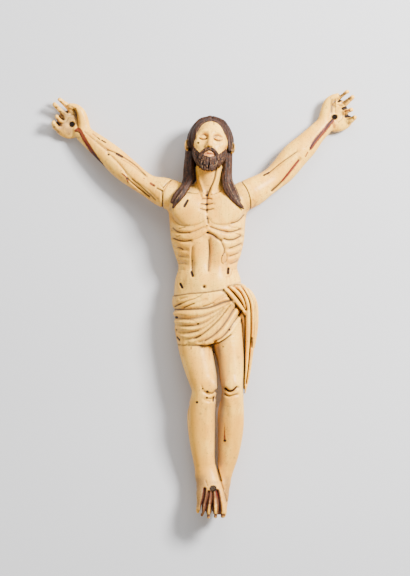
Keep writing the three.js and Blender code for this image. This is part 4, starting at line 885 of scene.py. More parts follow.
# Between the lips, and the ridges from the nose to the upper lip.
LIPS = [[-4.6, -17.9, 16], [-2, -17.6, 17.4], [0, -18, 17.6], [2, -17.6, 17.4], [4.6, -17.9, 16]]
LIP_LINES = [
    (LIPS, 0.6, 1.1, 0.8),
    ([[-1.4, -13.4, 19], [-1.2, -16, 18.4]], 0.7, -0.3, 0),
    ([[1.4, -13.4, 19], [1.2, -16, 18.4]], 0.7, -0.3, 0),
]


def finish_face(skin):
    """Closed lids, brows, nostrils, ears and lips."""

    def cut(stations, width, depth, stain_and_shade=0):
        skin.score(stations, width, depth, HEAD_FLOOR, stain_and_shade)

    stroke = skin.block.stroke
    for side in (1, -1):
        skin.bar(on_side(side, LID), 0.5)
        for stations, width, depth, stain_and_shade in EYE_LINES:
            cut(on_side(side, stations), width, depth, stain_and_shade)
        for hair in range(BROW_HAIRS):
            across = 2.6 + 1.7 * hair
            root = [across, 5.6, 17.6 - 0.3 * hair]
            tip = [across + 1.6, 7.6 - 0.4 * hair, 17 - 0.3 * hair]
            cut(on_side(side, [root, tip]), 0.5, 0.35, 0.5)
        skin.scoop(*on_side(side, [[1.9, -11.8, 20.6]]), [1, 0.8, 1.5], 0.3)
        cut(on_side(side, [[3.4, -9, 17.6], [5.8, -12.8, 16.4]]), 0.8, 0.6, 0.2)
        skin.scoop(*on_side(side, [[22.4, -0.4, 3.4]]), [1.7, 4.2, 2.8], 0.5, HEAD_TURN)
        stroke("stain_and_shade", on_side(side, [[21.8, 4, 1], [21.9, 0, 1], [21.3, -4, 1]]), 1, 0.85)
        nostril = on_side(side, [[1.7, -12.2, 19.6], [2.3, -12, 19.4]])
        stroke("dark_paint_and_shade", [[p[0], p[1]] for p in nostril], 0.6, 0.7)
    for stations, width, depth, stain_and_shade in LIP_LINES:
        cut(on_head(stations), width, depth, stain_and_shade)
    stroke("rose", on_head([[-3.6, -17, 17], [0, -16.8, 17], [3.6, -17, 17]]), 1, 0.8)
    stroke("rose", on_head([[-3, -19.4, 17], [0, -19.6, 17], [3, -19.4, 17]]), 1.3, 0.9)


# The inner and outer edge of the combed hair on either side of the face, from the parting down.
HAIR_BANDS = [
    (
        [[5, 184], [-2, 182.4], [-7.4, 177.6], [-10.6, 170], [-11.6, 161], [-11.4, 154]],
        [[4, 189], [-5, 187.4], [-11.6, 181.6], [-16, 173.4], [-17.6, 165], [-17.6, 154]],
    ),
    (
        [[9, 184], [15.6, 183], [21.8, 178.4], [25.2, 171], [26, 161], [25.6, 154]],
        [[9, 189.4], [18, 188], [25, 182.6], [29.6, 174], [31.4, 165], [31, 154]],
    ),
]


def finish_hair(hair):
    """Strands combed from the parting round the face."""
    for inner, outer in HAIR_BANDS:
        for share in (0.12, 0.34, 0.56, 0.78):
            line = [[a + (b - a) * share for a, b in zip(p, q)] for p, q in zip(inner, outer)]
            hair.score(line, 0.7, 0.6, HEAD_FLOOR)


def beard_front(across, up):
    """How far forwards the beard's surface is, in the head's own axes."""
    fronts = [0]
    for (y, z), (rx, ry, rz) in BEARD_EGGS:
        inner = 1 - (across / rx) ** 2 - ((up - y) / ry) ** 2
        if inner > 0:
            fronts.append(z + rz * math.sqrt(inner))
    return max(fronts)


# Start, middle and end of each strand of one side, as seen from in front.
BEARD_STRANDS = [
    [(0.4, -23), (0.7, -27.5), (0.4, -32)],
    [(2.6, -22.6), (3.4, -27.4), (2.8, -33)],
    [(5, -22), (6, -26.6), (5.4, -32)],
    [(8.4, -21.6), (8.4, -25), (7.6, -30)],
    [(10.4, -15.6), (10.8, -20), (9.6, -26)],
    [(12.6, -12.4), (12.6, -17), (11.2, -22.6)],
    [(14.6, -7.6), (14.2, -12.6), (12.8, -18.4)],
    [(16, -2), (15.6, -8), (14.4, -14)],
]


def finish_beard(beard):
    """Wavy strands from the cheeks and lips down to the chin, each a furrow with a ridge beside it."""
    for number, stations in enumerate(BEARD_STRANDS):
        line = smooth_line(stations, 8)
        waves = 0.5 * np.sin(np.arange(len(line)) * 1.15 + number)
        for side in (1, -1):
            strand = [[side * (x + w), y, beard_front(x + w, y)] for (x, y), w in zip(line, waves)]
            beard.score(on_head(strand), 0.62, 0.5, HEAD_FLOOR)
            beard.score(on_head([[x + side * 1.1, y, z] for x, y, z in strand]), 0.6, -0.5, HEAD_FLOOR)


# Each gap with its width and depth.
FINGER_GAPS = [
    ([[-146, 202.4], [-141.4, 197.4], [-136.4, 192.4]], 1.3, 2.6),
    ([[-145.4, 191], [-143, 187], [-140.4, 185]], 1.1, 1.6),
    ([[-147, 183], [-144.4, 179.4]], 1.5, 1.6),
    ([[135.6, 203], [139.6, 206.4], [145.6, 210]], 1.3, 2.6),
    ([[140.6, 196], [144.4, 197]], 1.2, 1.6),
    ([[143.6, 188.4], [147, 190.6], [150.6, 191]], 1.4, 1.8),
]

PALM_LINES = [
    [[-134, 198.6], [-130.4, 197], [-128.4, 192], [-128, 184], [-126, 177.6]],
    [[-141, 192], [-136, 189.4], [-130, 190]],
    [[-143, 181], [-138, 182], [-135, 186.4]],
    [[-128.4, 167], [-124, 166.6]],
    [[129.4, 205], [128.6, 199], [129, 192.4]],
    [[132.4, 206], [132.4, 199], [132.6, 192]],
    [[143, 200], [138.6, 199], [135, 200]],
    [[140.6, 191], [139.4, 186], [135.6, 182]],
]


def finish_hands(skin):
    """Creases across the finger joints and in the palm, and the gaps between the fingers with painted shadow
    in them.
    """
    for finger in RIGHT_FINGERS + LEFT_FINGERS:
        line = smooth_line(finger)
        for step in (3, 7):
            x, y = line[step][:2]
            ux, uy = line[step + 1][:2] - line[step - 1][:2]
            long = math.hypot(ux, uy) or 1
            wide = line[step][3]
            dx, dy = -wide * uy / long, wide * ux / long
            skin.score([[x + dx, y + dy], [x - dx, y - dy]], 0.6, 0.4, FINGER_FLOOR, 0.45)
    for gap, width, depth in FINGER_GAPS:
        skin.score(gap, width, depth, FINGER_FLOOR)
        # Painted shadow along each gap.
        skin.block.stroke("dark_paint_and_shade", gap, 0.8 * width, 0.85)
    for line in PALM_LINES:
        skin.engrave(line, 0.9, 0.5, PALM_FLOOR)


def finish_feet(skin):
    """Toe nails, the creases behind the toes and across them."""
    for x, y, z, half in (toe[-1] for toe in TOES):
        skin.scoop([x, y + 0.6, z + half + 1.5], [1.5, 1.7, 1.7], 0.2)
    skin.scoop([20, -209, 39.6], [2.3, 2.4, 1.9], 0.2)
    skin.score([[-3.4, -210], [1, -211.4], [9, -211.2], [16, -210.6], [21.6, -210.6]], 0.8, 0.6, FOOT_FLOOR)
    skin.score([[2, -199.6], [7, -200], [13, -200]], 0.7, 0.4, FOOT_FLOOR)
    for gap in FOOT_HOLLOWS:
        skin.score(gap, 0.9, 1.1, FOOT_FLOOR)


# Each line of the cloth, its width, and how strongly it is cut and stained.
CLOTH_LINES = [
    ([[-29, -5.4], [-17, -5.4], [-3, -4.8], [5, -3.8], [12, -1.6], [20, 1.6], [28, 3.6]], 1.2, 1),
    ([[-28, -2.6], [-25, -1], [-22, 0.2]], 1, 1),
    ([[-19, -3.8], [-14, -1.4], [-9, 0.4]], 0.9, 0.85),
    ([[-26.6, 2], [-22, 5], [-16, 7]], 0.9, 0.45),
    ([[-21, 0.6], [-15, 3.4], [-8, 5.6], [-1, 9.4]], 0.9, 0.6),
    ([[0, -2.4], [6, -0.6], [11, 1.4]], 0.9, 0.7),
    ([[10, -0.6], [16, 1.8], [22, 4.2]], 0.8, 0.6),
    ([[-4, 1.4], [3, 4.4], [9, 9]], 0.8, 0.3),
    ([[12, 3.6], [18, 7.4], [24, 10.6]], 0.9, 0.45),
    ([[-29, -14], [-23, -14.4], [-16, -15.4], [-9, -16.2]], 1, 0.5),
    ([[-19, -21.6], [-10, -21.2]], 0.9, 0.45),
    ([[-15, -10.6], [-5, -9.4], [3, -8]], 0.8, 0.3),
    ([[-3, -19.6], [5, -15.6], [12, -9]], 0.8, 0.3),
    ([[-27, -27], [-20, -29.2], [-11, -28], [-5, -27]], 1.1, 0.55),
    ([[-9, -34.4], [-4, -32.4], [3, -27.4], [11, -20.4], [18, -13.2], [24, -5.4]], 1.2, 0.7),
    ([[-7, -34], [-3.4, -32]], 1.2, 1),
    ([[2, -36.6], [10, -31.6], [18, -24], [24.6, -15], [29, -8], [33, -2]], 1.2, 0.75),
    ([[12, -37], [19, -33.2], [25, -26.6], [30, -19.4], [35, -12.4], [39, -6.6]], 1.1, 0.85),
    ([[22, -9], [26, -3], [29, 1]], 0.9, 0.6),
    ([[20, 13.6], [24.6, 9], [28, 4.4], [33, -1], [37.4, -6], [41.6, -12]], 1.4, 1),
    ([[42, -11.6], [42.2, -20], [42, -36], [41.6, -56], [40.6, -76], [40.6, -88]], 1.3, 1),
]


def finish_cloth(cloth):
    """The folds drawn sharper, with brown stain in them, and creases in the band."""
    for line, width, amount in CLOTH_LINES:
        cloth.engrave(line, width, amount)
    for gather in [*GATHERS, OUTER_GATHER]:
        cloth.engrave(gather, 1, 0.5)


# The nail holes.
BORES = [[-131.5, 180.4, PALM_BORE_RADIUS], [132, 187.6, PALM_BORE_RADIUS], [10, -184.4, FOOT_BORE_RADIUS]]

# The saw cuts between each arm and the body, from above the shoulder to below the armpit.
RIGHT_SHOULDER_SAW = [
    [-29, 127], [-33, 122], [-37, 117], [-39.4, 111], [-40.3, 104], [-39.4, 97], [-38, 91.5],
    [-39, 85],
]
LEFT_SHOULDER_SAW = [
    [40, 139], [33, 129], [38, 123], [43, 116], [46, 109], [47.4, 103], [47.4, 97], [46.6, 91],
    [46.4, 84], [61, 68],
]

# Paint, dirt and painted shade in lines: the kind, the line as seen from above, its width and its strength. A
# third number in a point is a share of the width.
PAINTED_LINES = [
    # Right palm and arm.
    ("blood", [
        [-128, 173.6, 0.7], [-125.4, 175.4, 1], [-123.2, 173.6, 1.1], [-121, 169.2, 1.2],
        [-118, 163.6, 1.2],
    ], 2.2, 1),
    ("blood", [
        [-120, 167, 1], [-114.4, 158, 1.1], [-110, 151, 1.1], [-105, 144.4, 0.9], [-99, 137, 0.6],
        [-94, 131.4, 0.2],
    ], 2.3, 1),
    ("dark_blood", [[-111, 152.4, 0.6], [-107, 147.4, 1], [-103, 142.6, 0.9], [-99, 138, 0.4]], 1, 1),
    ("dark_blood", [[-127.4, 173.2, 0.8], [-123.6, 171.4, 1], [-122, 167, 0.6]], 0.8, 0.8),
    ("red", [[-118.6, 163.4], [-114.4, 157]], 0.7, 0.8),
    ("orange", [[-110.4, 170.6], [-106, 167]], 1, 0.8),
    ("dark_blood", [[-105.4, 166.6], [-103.4, 165]], 0.9, 0.8),
    ("dark_blood", [[-101.4, 164], [-97.4, 161.8]], 0.9, 0.9),
    ("dark_blood", [[-86.4, 150.4], [-81, 147.4]], 1.5, 0.95),
    ("red", [[-81, 130.4], [-77, 127], [-75, 122]], 0.9, 0.9),
    ("red", [[-52.4, 120.6], [-48.6, 118.2]], 1.5, 0.85),
    # Left palm and arm.
    ("blood", [
        [130, 184, 0.8], [125.6, 179, 1], [119.6, 171.6, 1], [113, 164, 1], [108, 156, 0.7],
    ], 2.7, 1),
    ("dark_blood", [[129.6, 184.4, 1], [126.6, 181, 1], [122, 174, 0.5]], 1.2, 0.9),
    ("dark_blood", [[120, 173.4, 0.5], [115, 167, 0.8], [110, 160.4, 1], [106.6, 154, 0.5]], 0.8, 1),
    ("red", [[115, 166.6, 1], [109, 160.4, 1], [107, 154, 0.6]], 0.7, 0.8),
    ("red", [[105, 152], [102.6, 147.6]], 0.8, 0.85),
    ("orange", [[130.6, 182.4], [131.8, 177.6]], 1.7, 1),
    ("red", [[79, 123, 0.6], [87, 132.6, 1], [95.6, 143.4, 0.7]], 1.5, 0.9),
    ("dark_blood", [[61, 128.8], [65.6, 131.4]], 1.2, 0.95),
    ("orange", [[49.6, 104.4], [53, 101], [49.6, 96]], 1.6, 0.6),
    # Breast and belly.
    ("red", [[4, 114, 0.8], [4, 104, 1], [3.8, 98, 1], [4, 91, 0.5]], 1, 0.5),
    ("orange", [[6, 69.4, 1], [10, 67.6, 1], [14, 65, 0.6]], 1.9, 0.85),
    ("orange", [[20.6, 52], [21.6, 46], [21, 42]], 1.7, 0.6),
    ("orange", [[23, 27], [27, 28.4], [29.4, 35]], 1.1, 0.7),
    ("orange", [[6.4, 63], [7.2, 52], [6.6, 42], [6, 34]], 1.4, 0.35),
    # Face and neck.
    ("stain_and_shade", [[11, 182.4], [10.8, 179]], 0.8, 0.8),
    ("red", [[16.8, 166], [16.6, 156.4]], 0.9, 0.55),
    ("orange", [[23.6, 157], [20.6, 151.4], [18, 146]], 2, 0.8),
    ("grime_and_shade", [[1, 128], [1, 114]], 6, 0.45),
    ("stain_and_shade", [[-5.6, 134, 0.4], [-3.4, 122, 0.8], [0.8, 110, 1]], 1.1, 0.55),
    # Loincloth: dark marks, blood, stain and painted shade.
    ("dark_paint_and_shade", [[-26, -33], [-23, -36.4]], 1, 0.9),
    ("dark_blood", [[49, -33.4, 1], [49, -43, 0.8]], 0.95, 1),
    # Painted shadow beside the hanging end.
    ("dark_paint_and_shade", [[41, -74, 0.8], [41, -90, 1]], 1.1, 0.9),
    # Stain along the cloth's lower and upper edges, and painted shade where it meets the belly above the
    # swag.
    ("stain_and_shade", [[-25, -40.8], [-13, -41.2], [2, -41.4], [11, -40], [19, -36.8], [28, -30.6]], 1, 0.95),
    ("stain_and_shade", [[-29, 8], [-13, 10.4], [3, 11.6], [21, 14.4]], 1, 0.95),
    ("stain_and_shade", [[24, 17.6], [32, 19.4], [38, 19]], 1.2, 0.7),
    # Painted shade over the left side of the cloth.
    ("grime_and_shade", [[-25, 4], [-19, -14], [-19, -32]], 7, 0.4),
    # Legs and feet.
    ("red", [[-12, -42], [-11.6, -45]], 0.8, 0.85),
    ("orange", [[6, -45], [6.6, -55]], 1.3, 0.55),
    # Painted shadow between the thighs and between the shins, and painted shade down the inner flanks of the
    # legs and below the left knee.
    ("stain_and_shade", [[10, -42.6, 1], [13.6, -54, 1], [16, -76, 0.7], [16.6, -96, 0.6]], 2.6, 0.75),
    ("grime_and_shade", [[16, -46], [17, -78], [19, -98], [16.6, -110], [15.8, -136], [15.6, -158]], 2.2, 0.8),
    ("stain_and_shade", [[13.4, -157], [14.4, -164], [16, -171], [17.4, -176]], 1.5, 1),
    ("grime_and_shade", [[23, -100], [26, -110]], 4, 0.45),
    ("shade", [[15, -44], [18.6, -74], [19.4, -98], [16.6, -126], [16.4, -160]], 3.6, 0.9),
    ("shade", [[10, -46], [13, -76], [12.6, -98], [12.4, -136], [13, -160]], 2, 0.6),
    ("dark_blood", [[10.4, -93.4], [10.2, -96.6]], 1, 0.95),
    ("dark_blood", [[22.6, -84, 0.8], [26, -86.8, 1], [29.6, -86.2, 1], [33.4, -82.6, 0.8]], 1.2, 0.95),
    ("orange", [[21.8, -118, 0.3], [21.6, -127, 0.7], [21.6, -134, 1]], 1.4, 0.9),
    ("red", [[21.8, -122, 0.3], [21.6, -129, 0.6], [21.6, -135, 1]], 1.3, 0.8),
    # Painted shade and a golden tint on both feet.
    ("grime_and_shade", [[-3, -177], [-1, -198]], 9, 1),
    ("grime_and_shade", [[24, -176], [25, -196]], 5, 0.8),
    ("gold", [[2, -170], [1, -200]], 11, 1.3),
    ("gold", [[21, -174], [23, -202]], 8, 1.2),
    ("grime_and_shade", [[6, -178.6], [14, -178.6]], 2.4, 0.6),
    ("stain_and_shade", [[-3, -180], [-4, -200]], 7, 0.36),
    ("stain_and_shade", [[23, -182], [22, -204]], 5, 0.3),
    ("gold", [[-10, -100], [-6, -132], [-3, -166]], 9, 0.95),
    ("gold", [[35, -114], [31, -152], [26, -176]], 7, 0.9),
    ("gold", [[-13, -48], [-9, -76]], 8, 0.55),
    ("gold", [[33, -88], [36, -100]], 5, 0.6),
    ("blood", [[13, -187.6], [15.6, -194]], 1.7, 0.6),
    ("rose", [[7.4, -190], [6.6, -200]], 1.4, 0.8),
    ("rose", [[11.6, -190], [12.2, -200]], 1.4, 0.8),
    ("wine", [[-3, -210.4], [1, -211.6], [9, -211.4], [16, -210.8], [21, -210.8]], 1.5, 1),
    # Between the fingers and in the palms: painted shadow in the finger gaps, along the fingers and beside
    # the thumbs, and stain in the palm creases.
    ("stain_and_shade", [[-127.6, 196], [-126.8, 188], [-125.4, 178]], 1.2, 0.75),
    ("stain_and_shade", [[-145.4, 182.4], [-142.4, 179.4]], 1.6, 0.95),
    ("stain_and_shade", [[-142.4, 190.4], [-139, 185.4]], 1.6, 0.9),
    ("stain_and_shade", [[-141, 201.4], [-136.4, 198.4]], 1.5, 0.6),
    ("stain_and_shade", [[-149, 178], [-145, 172.4]], 1.6, 0.6),
    ("stain_and_shade", [[137.6, 208.4], [142.6, 211.4]], 1.5, 0.85),
    ("dark_paint_and_shade", [[136.8, 203.4], [141.6, 207.4]], 1.2, 0.95),
    ("stain_and_shade", [[141.6, 202], [147.6, 206.6]], 2, 0.85),
    ("dark_paint_and_shade", [[140.4, 196], [144.6, 197.4]], 1.7, 0.95),
    ("red", [[142.4, 193.4], [146.4, 194.2]], 1.1, 0.8),
    ("dark_paint_and_shade", [[143.4, 188.2], [150, 189]], 1.7, 0.95),
    ("stain_and_shade", [[145, 185.4], [150.6, 186.6]], 1.4, 0.8),
    ("grime_and_shade", [[129, 205], [129.4, 192]], 2, 0.75),
    ("grime_and_shade", [[132.8, 205], [132.8, 193]], 1.4, 0.6),
]

# Paint, dirt and painted shade in spots: the kind, the place, the radius and the strength.
PAINTED_SPOTS = [
    # Right palm and arm.
    ("dark_paint_and_shade", [-94.6, 149.6], 1.3, 0.85),
    ("dark_blood", [-76.2, 125.4], 1.2, 0.9),
    ("red", [-59, 125.6], 0.9, 0.85),
    ("dark_blood", [-49.4, 118.6], 1, 0.7),
    # Breast and belly.
    ("dark_paint_and_shade", [3.8, 108.4], 1.7, 0.85),
    ("dark_paint_and_shade", [3.6, 99.2], 1.5, 0.85),
    ("dark_paint_and_shade", [3.8, 93.4], 1.3, 0.85),
    ("dark_paint_and_shade", [4.2, 85.4], 1.2, 0.85),
    ("dark_paint_and_shade", [4, 78.2], 1, 0.85),
    ("dark_paint_and_shade", [4.2, 71.2], 1.4, 0.85),
    ("dark_paint_and_shade", [1, 17], 1.2, 1),
    ("dark_paint_and_shade", [-10.8, 43], 1, 0.8),
    ("dark_paint_and_shade", [19.6, 48.4], 1, 0.7),
    ("grime_and_shade", [22, 103.4], 1.6, 0.6),
    ("grime_and_shade", [-24, 95], 1.6, 0.6),
    ("grime_and_shade", [-32.4, 95], 2.4, 0.6),
    ("grime_and_shade", [-15, 95], 1.2, 0.6),
    # Face and neck.
    ("dark_paint_and_shade", [-4.6, 160.6], 1.3, 0.9),
    # Loincloth: painted shade in the hollows between the folds, and a dark spot of blood.
    ("dark_paint_and_shade", [-26.4, -13.4], 1.6, 1),
    ("dark_paint_and_shade", [-5, -19.8], 1.1, 1),
    ("dark_blood", [26.4, -25.6], 1.2, 1),
    ("dark_paint_and_shade", [-26.4, -25.8], 1, 0.8),
    # Legs and feet.
    ("dark_paint_and_shade", [20, -42.6], 0.9, 0.8),
    ("grime_and_shade", [35, -53], 2, 0.7),
    ("dark_paint_and_shade", [4.4, -87.4], 1.5, 0.95),
    ("dark_paint_and_shade", [4, -93.6], 1.3, 0.95),
    ("dark_paint_and_shade", [-6, -98], 1.4, 0.95),
    ("dark_paint_and_shade", [-0.2, -84.4], 1, 0.95),
    ("dark_paint_and_shade", [21.8, -136.6], 1.6, 0.95),
    # Between the fingers and in the palms.
    ("stain_and_shade", [-134, 170.6], 2.2, 0.5),
]

# Small spots of grime on the feet and shins and of stain on the fingertips, then large patches of painted
# shade in
# the right palm and of gold on the breast: each kind with its radius, strength and places.
SCATTERED = [
    ("grime_and_shade", 1.5, 0.8, [
        [-4.4, -162], [-3.6, -168], [-5, -174.6], [-2.8, -184], [-0.8, -184.6], [2, -184], [-4, -190],
        [24, -178], [22.6, -188], [31.6, -154], [-2.4, -109.6], [3, -105],
    ]),
    ("stain_and_shade", 1.5, 0.85, [
        [-147, 197.4], [-143, 193], [-142.4, 202.6], [-149, 177.6], [-146, 184.6], [137.4, 209.4],
        [142, 203.4], [146.4, 206.8], [141.6, 210.4], [144, 188.2],
    ]),
    # Painted shade in the right palm.
    ("grime_and_shade", 7, 0.95, [[-138, 190], [-136, 184], [-141, 178], [-135, 174], [-131, 189]]),
    ("gold", 6.5, 0.7, [[-18, 91], [-13, 93], [-22, 87], [-17, 85]]),
]

# Hair and beard rubbed down to the ivory.
RUBBED_LINES = [
    [[28.6, 124], [31.6, 117], [34.6, 109], [37, 102]],
    [[25.4, 120], [28.6, 112], [33, 105], [36.6, 99.4]],
    [[-19.6, 113], [-24, 108], [-28, 102]],
    [[-5.4, 141.4], [-3.6, 138.4], [-0.4, 137]],
    [[10.4, 137.4], [13.6, 140], [15, 143.4]],
    [[0.6, 147], [1, 143]],
    [[8, 147], [7.8, 143.4]],
]
HOLLOW_STAIN_WIDTHS = [2.5, 2.6, 3, 2.1]


def paint(block):
    """Blood, stain, grime and spots, where the painter and the years put them, and painted shade where shade
    falls.
    """
    for kind, line, width, amount in PAINTED_LINES:
        block.stroke(kind, line, width, amount)
    for kind, spot, radius, amount in PAINTED_SPOTS:
        block.dab(kind, spot, radius, amount)
    for kind, radius, amount, spots in SCATTERED:
        for spot in spots:
            block.dab(kind, spot, radius, amount)
    for slit in SLITS:
        block.stroke("dark_blood", slit, 1.3, 1.25)
        block.stroke("dark_paint_and_shade", slit, 0.8)
    for line in RUBBED_LINES:
        block.stroke("rubbed", line, 0.6, 0.62)
    block.stroke("stain_and_shade", LEFT_SHOULDER_SAW[2:8], 0.8, 0.95)
    for gap, width in zip(FOOT_HOLLOWS, HOLLOW_STAIN_WIDTHS):
        block.stroke("wine", gap, width)
        block.stroke("dark_blood", gap[1:], 0.6, 0.7)
    for toe in TOES:
        block.dab("rose", toe[-1], 2, 0.5)
    # Painted shade in and round the nail holes.
    for x, y, radius in BORES:
        block.dab("dark_paint_and_shade", [x, y], radius + BORE_RIM)


def beside(saw, x, y):
    """How far x, y is to the viewer's right of a saw cut."""
    line = smooth_line(saw)[::-1]
    at = np.interp(y, line[:, 1], line[:, 0])
    slope = np.interp(y, line[:, 1], np.gradient(line[:, 0], line[:, 1] + 1e-6 * np.arange(len(line))))
    return (x - at) / np.sqrt(1 + slope * slope)


def carve(block):
    """The layers of the carving and the whole of them, before it is sawn."""
    skin, cloth, hair, beard = (Layer(block) for _ in range(4))
    for work in (carve_trunk, carve_legs, carve_arms, carve_hands, carve_head):
        work(skin)
    for work in (finish_trunk, finish_limbs, finish_face, finish_hands, finish_feet):
        work(skin)
    carve_cloth(cloth)
    finish_cloth(cloth)
    carve_hair(hair)
    finish_hair(hair)
    carve_beard(beard)
    finish_beard(beard)
    paint(block)
    bare = join(skin.field, cloth.field, 0.7)
    return bare, hair.field, beard.field, join(bare, join(hair.field, beard.field, 0.5), 0.5)


def sawn(block, whole, piece):
    """What the saw cuts, the bores and the rest flat leave of a piece."""
    _, x, y, z = block.part(block.low, [a[-1] + 1 for a in block.axes])
    right = beside(RIGHT_SHOULDER_SAW, x, y)
    left = beside(LEFT_SHOULDER_SAW, x, y)
    gap = SHOULDER_GAP / 2
    if piece == "right_arm":
        limit = right + gap
    elif piece == "left_arm":
        limit = gap - left
    else:
        limit = np.maximum(gap - right, left + gap)
        limit = np.where((y > SHOULDER_FOOT) & (y < SHOULDER_TOP), limit, -FAR)
    solid = np.maximum(whole, limit)
    for cx, cy, radius in BORES:
        solid = np.maximum(solid, radius - np.hypot(x - cx, y - cy))
    return np.maximum(solid, REST_FLAT_DEPTH - z).astype(np.float32)


CORNERS = [(i, j, k) for i in (0, 1) for j in (0, 1) for k in (0, 1)]


def skin_of(field, block):
    """A net over the surface where the field is zero: its points and its four-sided faces."""
    inside = field < 0
    cells = tuple(n - 1 for n in field.shape)

    def at_corner(grid, corner):
        return grid[tuple(slice(c, c + n) for c, n in zip(corner, cells))]

    total = sum(at_corner(inside, corner).astype(np.int8) for corner in CORNERS)
    mixed = (total > 0) & (total < 8)
    where = np.argwhere(mixed)
    number = np.full(cells, -1, np.int32)
    number[mixed] = np.arange(len(where))
    spots = np.zeros((len(where), 3))
    crossings = np.zeros(len(where))
    faces = []
    for axis in range(3):
        step = np.eye(3, dtype=int)[axis]
        others = [a for a in range(3) if a != axis]
        for corner in CORNERS:
            if corner[axis]:
                continue
            start = where + corner
            a = field[tuple(start.T)]
            b = field[tuple((start + step).T)]
            crossed = (a < 0) != (b < 0)
            share = np.where(crossed, a / np.where(crossed, a - b, 1), 0)
            spots += np.where(crossed[:, None], start + share[:, None] * step, 0)
            crossings += crossed
        low = [slice(None)] * 3
        high = [slice(None)] * 3
        low[axis], high[axis] = slice(None, -1), slice(1, None)
        edges = np.argwhere(inside[tuple(low)] != inside[tuple(high)])
        for other in others:
            edges = edges[(edges[:, other] > 0) & (edges[:, other] < cells[other])]
        u, v = np.eye(3, dtype=int)[others]
        ring = np.stack([number[tuple((edges - shift).T)] for shift in (u + v, v, 0 * u, u)], axis=1)
        outwards = inside[tuple(edges.T)] == (axis != 1)
        ring[~outwards] = ring[~outwards][:, ::-1]
        faces.append(ring)
    points = block.low + block.grain * spots / crossings[:, None]
    return points, np.concatenate(faces)


def without_specks(points, faces):
    """The largest joined part of a net: specks that hang loose from it are left out."""
    part = np.arange(len(points))
    while True:
        lowest = part.copy()
        np.minimum.at(lowest, faces.ravel(), np.repeat(part[faces].min(axis=1), faces.shape[1]))
        lowest = lowest[lowest]
        if np.array_equal(lowest, part):
            break
        part = lowest
    kept = part == np.bincount(part).argmax()
    number = np.cumsum(kept) - 1
    return points[kept], number[faces[kept[faces[:, 0]]]]


def mesh_of(name, points, faces):
    """A mesh from points and faces of equally many sides."""
    mesh = bpy.data.meshes.new(name)
    mesh.vertices.add(len(points))
    mesh.vertices.foreach_set("co", points.astype(np.float32).ravel())
    sides = faces.shape[1]
    mesh.loops.add(faces.size)
    mesh.loops.foreach_set("vertex_index", faces.astype(np.int32).ravel())
    mesh.polygons.add(len(faces))
    mesh.polygons.foreach_set("loop_start", np.arange(0, faces.size, sides, dtype=np.int32))
    mesh.update(calc_edges=True)
    mesh.validate()
    return mesh


def sampled(grid, block, points):
    """A grid's values at points, between its samples."""
    at = (points[:, : grid.ndim] - block.low[: grid.ndim]) / block.grain
    last = np.array(grid.shape) - 2
    base = np.clip(np.floor(at).astype(int), 0, last)
    share = np.clip(at - base, 0, 1)
    value = np.zeros(len(points))
    for corner in range(2**grid.ndim):
        bits = np.array([(corner >> n) & 1 for n in range(grid.ndim)])
        weight = np.prod(np.where(bits, share, 1 - share), axis=1)
        value += weight * grid[tuple((base + bits).T)]
    return value


def crowding(field, reach):
    """How much of the neighbourhood of each sample is solid: more than half in a hollow."""
    solid = np.clip(0.5 - field, 0, 1)
    for axis in range(3):
        width = 2 * reach + 1
        padded = np.pad(solid, [(reach + 1, reach) if a == axis else (0, 0) for a in range(3)], mode="edge")
        total = np.cumsum(padded, axis=axis, dtype=np.float32)
        ahead = [slice(None)] * 3
        behind = [slice(None)] * 3
        ahead[axis], behind[axis] = slice(width, None), slice(None, -width)
        solid = (total[tuple(ahead)] - total[tuple(behind)]) / width
    return solid


def apply_modifiers(piece):
    """Gives a piece its finished mesh and takes its modifiers away."""
    shown = piece.evaluated_get(bpy.context.evaluated_depsgraph_get())
    mesh = bpy.data.meshes.new_from_object(shown)
    piece.modifiers.clear()
    piece.data = mesh


def skinned_piece(name, block, solid):
    """The skin of a solid as an object, smoothed a little and thinned to the facets that it may have."""
    points, faces = without_specks(*skin_of(solid, block))
    piece = bpy.data.objects.new(name, mesh_of(name, points, faces))
    bpy.context.scene.collection.objects.link(piece)
    relax = piece.modifiers.new("relax", "SMOOTH")
    relax.factor = 0.5
    relax.iterations = 1
    facets = 2 * len(faces)
    if facets > MOST_FACETS:
        fewer = piece.modifiers.new("fewer", "DECIMATE")
        fewer.ratio = MOST_FACETS / facets
    apply_modifiers(piece)
    return piece


def vertex_rows(mesh, kind):
    """The places or the normals of a mesh's vertices, as rows of three."""
    values = np.zeros(len(mesh.vertices) * 3, np.float32)
    mesh.vertices.foreach_get(kind, values)
    return values.reshape(-1, 3)


HAIR_EDGE = 0.6  # the width in which bare skin turns into hair, and hair into beard
CREASE_REACH = 1.3
HOLLOW_REACH = 3.6
LAYER_LIFT = 0.3  # the layers are read this far above the skin, and its hollows this far
HOLLOW_LIFT = 0.2
# How far up a face looks, from -1 to 1, where paint begins to show and where it is full.
PAINT_START = -0.35
PAINT_FULL = 0.15


